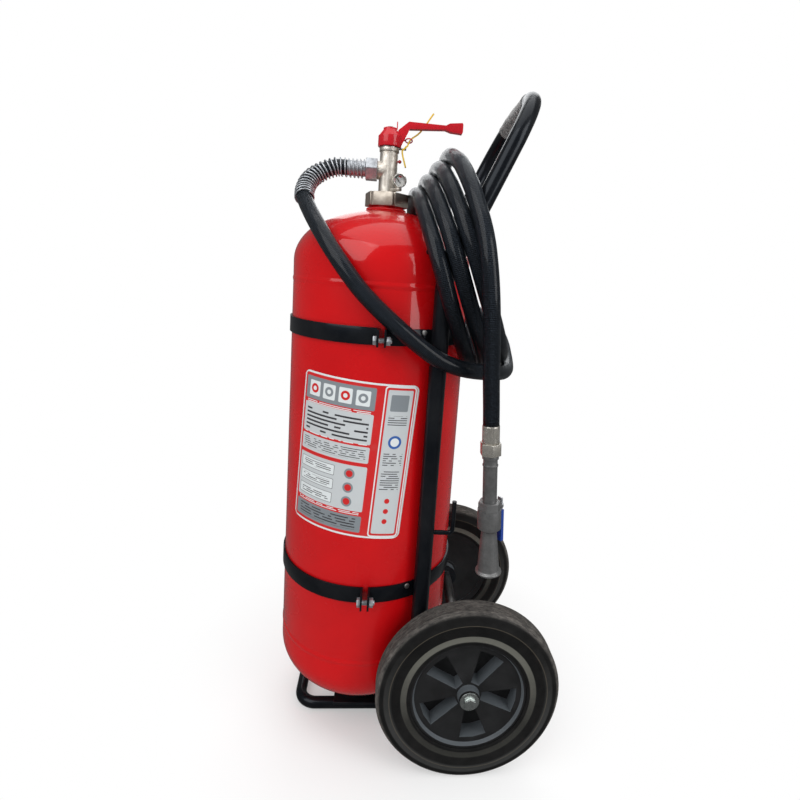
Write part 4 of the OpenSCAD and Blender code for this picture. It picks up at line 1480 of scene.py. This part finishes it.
@dataclass
class Frame:
    """The tube frame: rails, bow, wrap, pegs, hook, bands, foot and base."""

    rail_x: float = 0.137308
    rail_y: float = 0.094263
    tube: float = 0.01345
    tube_sides: int = 40
    foot: float = 0.02405
    heel_z: float = 0.806
    heel_r: float = 0.080
    tilt: float = 23.5
    leg: float = 0.215
    corner: float = 0.098
    hook_z: float = 0.400
    hook_from: float = 0.0134
    hook_to: float = 0.036
    hook_bend: float = 0.007
    hook_top: float = 0.454
    hook_rod: float = 0.00375
    hook_sides: int = 20
    loop_x: float = 0.054
    loop_rod: float = 0.010
    loop_sides: int = 32
    loop_bend: float = 0.030
    loop_front: float = 0.109
    wrap_from: float = 60.0
    wrap_half: float = 0.0393
    wrap_lift: float = 0.0007
    wrap_sides: int = 72
    fold_scale: Pair = (45.0, 95.0)
    fold_high: Pair = (0.0005, 0.0006)

    def place(self) -> Matrix:
        """Return the bow's own frame, tipped back from the rails' tops."""
        tip = Matrix.Rotation(math.radians(-self.tilt), 4, "X")
        return Matrix.Translation((0, self.rail_y, self.heel_z)) @ tip

    def half_bow(self) -> list[Vector]:
        """Work out one half of the bow's line.

        Returns:
            Its points from the rail's top to the middle.
        """
        tilt = math.radians(self.tilt)
        heel = self.heel_r * math.tan(tilt / 2)
        line = [(self.rail_x, self.heel_r * (1 - math.cos(a)), heel - self.heel_r * math.sin(a))
                for a in np.linspace(tilt, 0, 9)]
        line += [(self.rail_x, 0.0, z) for z in np.linspace(heel, self.leg, 6)[1:]]
        line += [(self.rail_x - self.corner * (1 - math.cos(a)), 0.0, self.leg + self.corner * math.sin(a))
                 for a in np.linspace(0, math.pi / 2, 25)[1:]]
        return [Vector(p) for p in line]

    def build(self, tubes: PathTube) -> None:
        """Dress every piece of the frame.

        Args:
            tubes: The tree that makes tubes.
        """
        half = self.half_bow()
        bow = [*half, *[Vector((-p.x, p.y, p.z)) for p in reversed(half)]]
        tubes.run("bow_tube", turned(bow, self.place()), self.tube, self.tube_sides, BLACK, "handle_bow")
        low = self.heel_z - self.heel_r * math.tan(math.radians(self.tilt / 2))
        for name, x in (("right_rail", -self.rail_x), ("left_rail", self.rail_x)):
            line = [(x, self.rail_y, z) for z in np.linspace(self.foot, low, 12)]
            tubes.run(name + "_tube", line, self.tube, self.tube_sides, BLACK, name)
        self.foot_tube(tubes)
        self.hook(tubes)
        for node, bevel in (("hose_pegs", 0.6), ("upper_band", 0.7), ("lower_band", 0.7), ("cross_bar", 0.2),
                            ("base_plate", 0.8), ("seat_ring", 0.6), ("axle_brackets", 0.8)):
            Forms.soften(node, BLACK, "frame", bevel)
        Forms.soften("band_rivets", STEEL, "frame", 0.8, 3)
        Forms.soften("band_bolts", ZINC, "frame", 0.4)
        Forms.soften("band_nuts", ZINC, "frame", 0.4)
        self.wrap()

    def hook(self, tubes: PathTube) -> bpy.types.Object:
        """Bend the rod that the nozzle hangs on.

        Args:
            tubes: The tree that makes tubes.

        Returns:
            The rod.
        """
        x, y, z, bend = self.rail_x, self.rail_y, self.hook_z, self.hook_bend
        line = [(x, y + self.hook_from, z), (x, y + self.hook_to, z)]
        line += [(x, y + self.hook_to + bend * math.sin(a), z + bend - bend * math.cos(a))
                 for a in np.linspace(0, math.pi / 2, 8)[1:]]
        line.append((x, y + self.hook_to + bend, self.hook_top))
        return tubes.run("hook_rod", line, self.hook_rod, self.hook_sides, BLACK, "nozzle_hook")

    def foot_tube(self, tubes: PathTube) -> bpy.types.Object:
        """Bend the foot loop's rod.

        Args:
            tubes: The tree that makes tubes.

        Returns:
            The rod.
        """
        w, r, bend, front = self.loop_x, self.loop_rod, self.loop_bend, self.loop_front
        side = [(w, y, r) for y in np.linspace(self.rail_y + r, bend - front, 6)]
        side += [(w - bend + bend * math.cos(a), bend - front - bend * math.sin(a), r)
                 for a in np.linspace(0, math.pi / 2, 13)[1:]]
        line = side + [(-x, y, z) for x, y, z in reversed(side)]
        return tubes.run("foot_rod", line, r, self.loop_sides, BLACK, "foot_loop")

    def wrap(self) -> bpy.types.Object:
        """Wrap the clear film loosely round the bow's crossbar and far corner.

        Returns:
            The film.
        """
        bend, bar = self.corner, self.leg + self.corner
        line = [Vector((bend * (1 - math.cos(a)) - self.rail_x, 0.0, self.leg + bend * math.sin(a)))
                for a in np.linspace(math.radians(self.wrap_from), math.pi / 2, 16)]
        line += [Vector((x, 0.0, bar)) for x in np.linspace(-self.wrap_half, self.wrap_half, 26)[1:]]
        line += [Vector((self.wrap_half + bend * math.sin(a), 0.0, self.leg + bend * math.cos(a)))
                 for a in (0.02, 0.04, 0.06, 0.08)]
        path = turned(line, self.place())
        pts, faces, uv = Forms.sweep(path, self.tube + self.wrap_lift, self.wrap_sides)
        out = unit(pts - np.repeat(path, self.wrap_sides, axis=0))
        (broad, fine), (high, low) = self.fold_scale, self.fold_high
        for i, p in enumerate(pts):
            fold = mnoise.noise(Vector(p) * broad) * high + abs(mnoise.noise(Vector(p) * fine)) * low
            pts[i] = p + out[i] * fold
        return Forms.add("wrap_film", pts, faces, CrinkledFilm(), "frame", ["handle_wrap"], {"run": uv})


@dataclass
class Wheels:
    """Both wheels, their axle and what holds them on it."""

    x: float = 0.174508
    y: float = 0.176963
    radius: float = 0.149
    width: float = 0.042
    rim: float = 0.094
    sides: int = 200
    slots: int = 9
    slot_pitch: float = 0.0029
    slot_deep: Pair = (0.0017, 0.0012)
    slot_half: Pair = (0.00075, 0.00045)
    wall_lean: float = 0.7

    def tyre(self, side: Side) -> bpy.types.Object:
        """Turn a tyre with ribbed tread, shoulder, side ring and lip.

        Args:
            side: The side of the tank that the wheel is on.

        Returns:
            The tyre.
        """
        half, rim, r = self.width / 2, self.rim, self.radius
        flank = [(rim, half - 0.0008), (rim + 0.0010, half - 0.0002), (rim + 0.0048, half),
                 (rim + 0.0054, half - 0.0007), (rim + 0.0146, half - 0.0007), (rim + 0.0156, half),
                 (r - 0.0230, half), (r - 0.0224, half + 0.0004), (r - 0.0212, half + 0.0004),
                 (r - 0.0206, half), (r - 0.0110, half - 0.0007), (r - 0.0070, half - 0.0018),
                 (r - 0.0032, half - 0.0038), (r - 0.0010, half - 0.0066), (r, half - 0.0084)]
        crown, (mouth, foot) = [], self.slot_half
        for k in range(-(self.slots // 2), self.slots // 2 + 1):
            c, floor = -k * self.slot_pitch, r - self.slot_deep[k % 2]
            crown += [(r, c + mouth), (floor, c + foot), (floor, c - foot), (r, c - mouth)]
        profile = [*flank, *crown, *[(near, -out) for near, out in reversed(flank)]]
        at = Matrix.Translation((side.value * self.x, self.y, r)) @ Matrix.Rotation(math.pi / 2, 4, "Y")
        pts, faces = Forms.lathe(profile, at, self.sides)
        return Forms.add(side.word + "_tyre_rubber", pts, faces, TyreSkin(), side.word + "_wheel",
                         [side.word + "_tyre"], sharp=40)

    def build(self) -> None:
        """Dress both wheels and the axle."""
        for side in Side:
            self.tyre(side)
            rim = Forms.soften(side.word + "_rim", RimSkin(), side.word + "_wheel", 1.3, 3)
            # painted light: marks the faces that don't face sideways, which the rim's finish paints pale
            # blue-grey as lit
            lit_walls = [float(abs(f.normal.x) < self.wall_lean) for f in rim.data.polygons]
            rim.data.attributes.new("wall", "FLOAT", "FACE").data.foreach_set("value", lit_walls)
        for node, finish in (("axle", STEEL), ("hub_spacers", STEEL), ("axle_washers", BRIGHT),
                             ("axle_bolts", BRIGHT)):
            Forms.soften(node, finish, "frame", 0.4)


@dataclass
class Studio:
    """The camera, the pale floor, the soft lamps and the white surround."""

    spot: Point = (0.9065, 0.0102, 0.8115)
    azimuth: float = 85.0
    down: float = 8.8
    roll: float = 4.1
    focal: float = 23.04
    sensor: float = 36.0
    shift: Pair = (-0.0351, -0.0584)
    fade_at: Pair = (-0.06, 0.08)
    fade_from: float = 0.20
    fade_to: float = 0.46
    floor_half: float = 9.0
    floor_glow: float = 0.30
    mirrored: float = 0.14
    surround: float = 0.42
    mirror_loss: float = 0.27
    lamps: tuple = (("key", (1.6, -1.5, 2.2), (0.0, 0.0, 0.6), (2.2, 2.4), 42),
                    ("side", (1.5, 1.9, 1.5), (0.0, 0.1, 0.5), (1.3, 1.8), 26),
                    ("rear", (-1.8, 0.2, 1.9), (0.0, 0.0, 0.6), (1.8, 1.8), 20),
                    ("top", (0.2, 0.1, 2.9), (0.0, 0.0, 0.5), (2.6, 2.2), 24))

    def camera(self) -> bpy.types.Object:
        """Set up the camera.

        Returns:
            The camera.
        """
        a, e, r = (math.radians(v) for v in (self.azimuth, self.down, self.roll))
        back = Vector((math.sin(a) * math.cos(e), -math.cos(a) * math.cos(e), math.sin(e)))
        right = Vector((math.cos(a), math.sin(a), 0.0))
        up = back.cross(right)
        across = right * math.cos(r) + up * math.sin(r)
        high = up * math.cos(r) - right * math.sin(r)
        lens = bpy.data.cameras.new("camera")
        lens.lens, lens.sensor_width, lens.clip_start = self.focal, self.sensor, 0.01
        lens.shift_x, lens.shift_y = self.shift
        made = linked("camera", lens)
        turn = Matrix((across, high, back)).transposed()
        made.matrix_world = Matrix.Translation(self.spot) @ turn.to_4x4()
        bpy.context.scene.camera = made
        return made

    def floor(self) -> bpy.types.Object:
        """Lay the pale floor, which fades to white away from the shadow.

        Returns:
            The floor.
        """
        s = Shade("pale floor")
        s.dress(Base_Color=s.mix(s.noise(3.0) * 0.04, (0.90, 0.90, 0.90), (0.84, 0.84, 0.84)), Roughness=0.8)
        x, y, _ = s.axes()
        dx, dy = x - self.fade_at[0], y - self.fade_at[1]
        far = (dx * dx + dy * dy).math("SQRT").step(self.fade_from, self.fade_to)
        ray = s.node("LightPath")
        seen, shine = s.val(ray.outputs["Is Camera Ray"]), s.val(ray.outputs["Is Glossy Ray"])
        strength = seen + (1 - seen) * self.mirrored
        glow = s.node("Emission", None, {"Color": (1.0, 1.0, 1.0), "Strength": strength})
        white = self.floor_glow + (1 - self.floor_glow) * far
        share = white * seen + (1 - seen) * shine
        blend = s.node("MixShader", None, {0: share, 1: s.skin.outputs[0], 2: glow.outputs[0]})
        s.tree.links.new(blend.outputs[0], s.out.inputs[0])
        mesh = bpy.data.meshes.new("floor")
        h = self.floor_half
        mesh.from_pydata([(-h, -h, 0), (h, -h, 0), (h, h, 0), (-h, h, 0)], [], [(0, 1, 2, 3)])
        mesh.materials.append(s.mat)
        made = linked("floor", mesh)
        return made

    def lamp(self, name: str, spot: Sequence[float], aim: Sequence[float], size: Pair,
             power: float) -> bpy.types.Object:
        """Hang a soft lamp.

        Args:
            name: The lamp's name.
            spot: Where it hangs.
            aim: The point that it faces.
            size: Its width and height.
            power: Its power in watts.

        Returns:
            The lamp.
        """
        data = bpy.data.lights.new(name, "AREA")
        data.shape, data.size, data.size_y, data.energy = "RECTANGLE", size[0], size[1], power
        made = linked(name, data)
        made.rotation_euler = (Vector(aim) - Vector(spot)).to_track_quat("-Z", "Y").to_euler()
        made.location = spot
        return made

    def world(self) -> None:
        """Make the surround white to the eye and in reflections, soft as light."""
        made = bpy.data.worlds.new("surround")
        bpy.context.scene.world = made
        made.use_nodes = True
        tree = made.node_tree
        tree.nodes.clear()
        out, back = tree.nodes.new("ShaderNodeOutputWorld"), tree.nodes.new("ShaderNodeBackground")
        ray = tree.nodes.new("ShaderNodeLightPath")
        seen = Val(tree, ray.outputs["Is Camera Ray"]).high(Val(tree, ray.outputs["Is Transmission Ray"]))
        shine = Val(tree, ray.outputs["Is Glossy Ray"])
        strength = self.surround + (1 - self.surround) * seen - (1 - seen) * shine * self.mirror_loss
        back.inputs["Color"].default_value = (1.0, 1.0, 1.0, 1.0)
        tree.links.new(strength.socket, back.inputs["Strength"])
        tree.links.new(back.outputs[0], out.inputs[0])

    def build(self) -> None:
        """Set up the whole studio."""
        bpy.context.scene.view_settings.view_transform = "Standard"
        self.world()
        self.floor()
        for lamp in self.lamps:
            self.lamp(*lamp)


def plain_nodes() -> None:
    """Give the hidden inner pieces that stay as they are their finishes."""
    for node, finish in (("dip_tube", STEEL), ("neck_gasket", GASKET), ("valve_plug", BRASS),
                         ("nozzle_ball", CHROME), ("ball_seats", WHITE_PLASTIC), ("outlet_ferrule", ZINC)):
        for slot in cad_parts[node].material_slots:
            slot.material = finish.material()
        log.info("%s takes %s", node, finish.name)


def main() -> None:
    """Build the studio and the parts in order."""
    logging.basicConfig(level=logging.INFO, format="%(message)s")
    studio = Studio()
    studio.camera()
    tubes, rings = PathTube(), RingArray()
    line = Hose()
    hose = line.build()
    spring = line.spring(tubes)
    near = Nozzle().build()
    Forms.soften("outlet_nut", ZINC, "frame", 0.5)
    line.declare()
    tank = Tank()
    tank.skin()
    tank.neck_skin(rings)
    tank.film()
    Valve().build()
    Frame().build(tubes)
    Wheels().build()
    plain_nodes()
    studio.build()


if __name__ == "__main__":
    main()
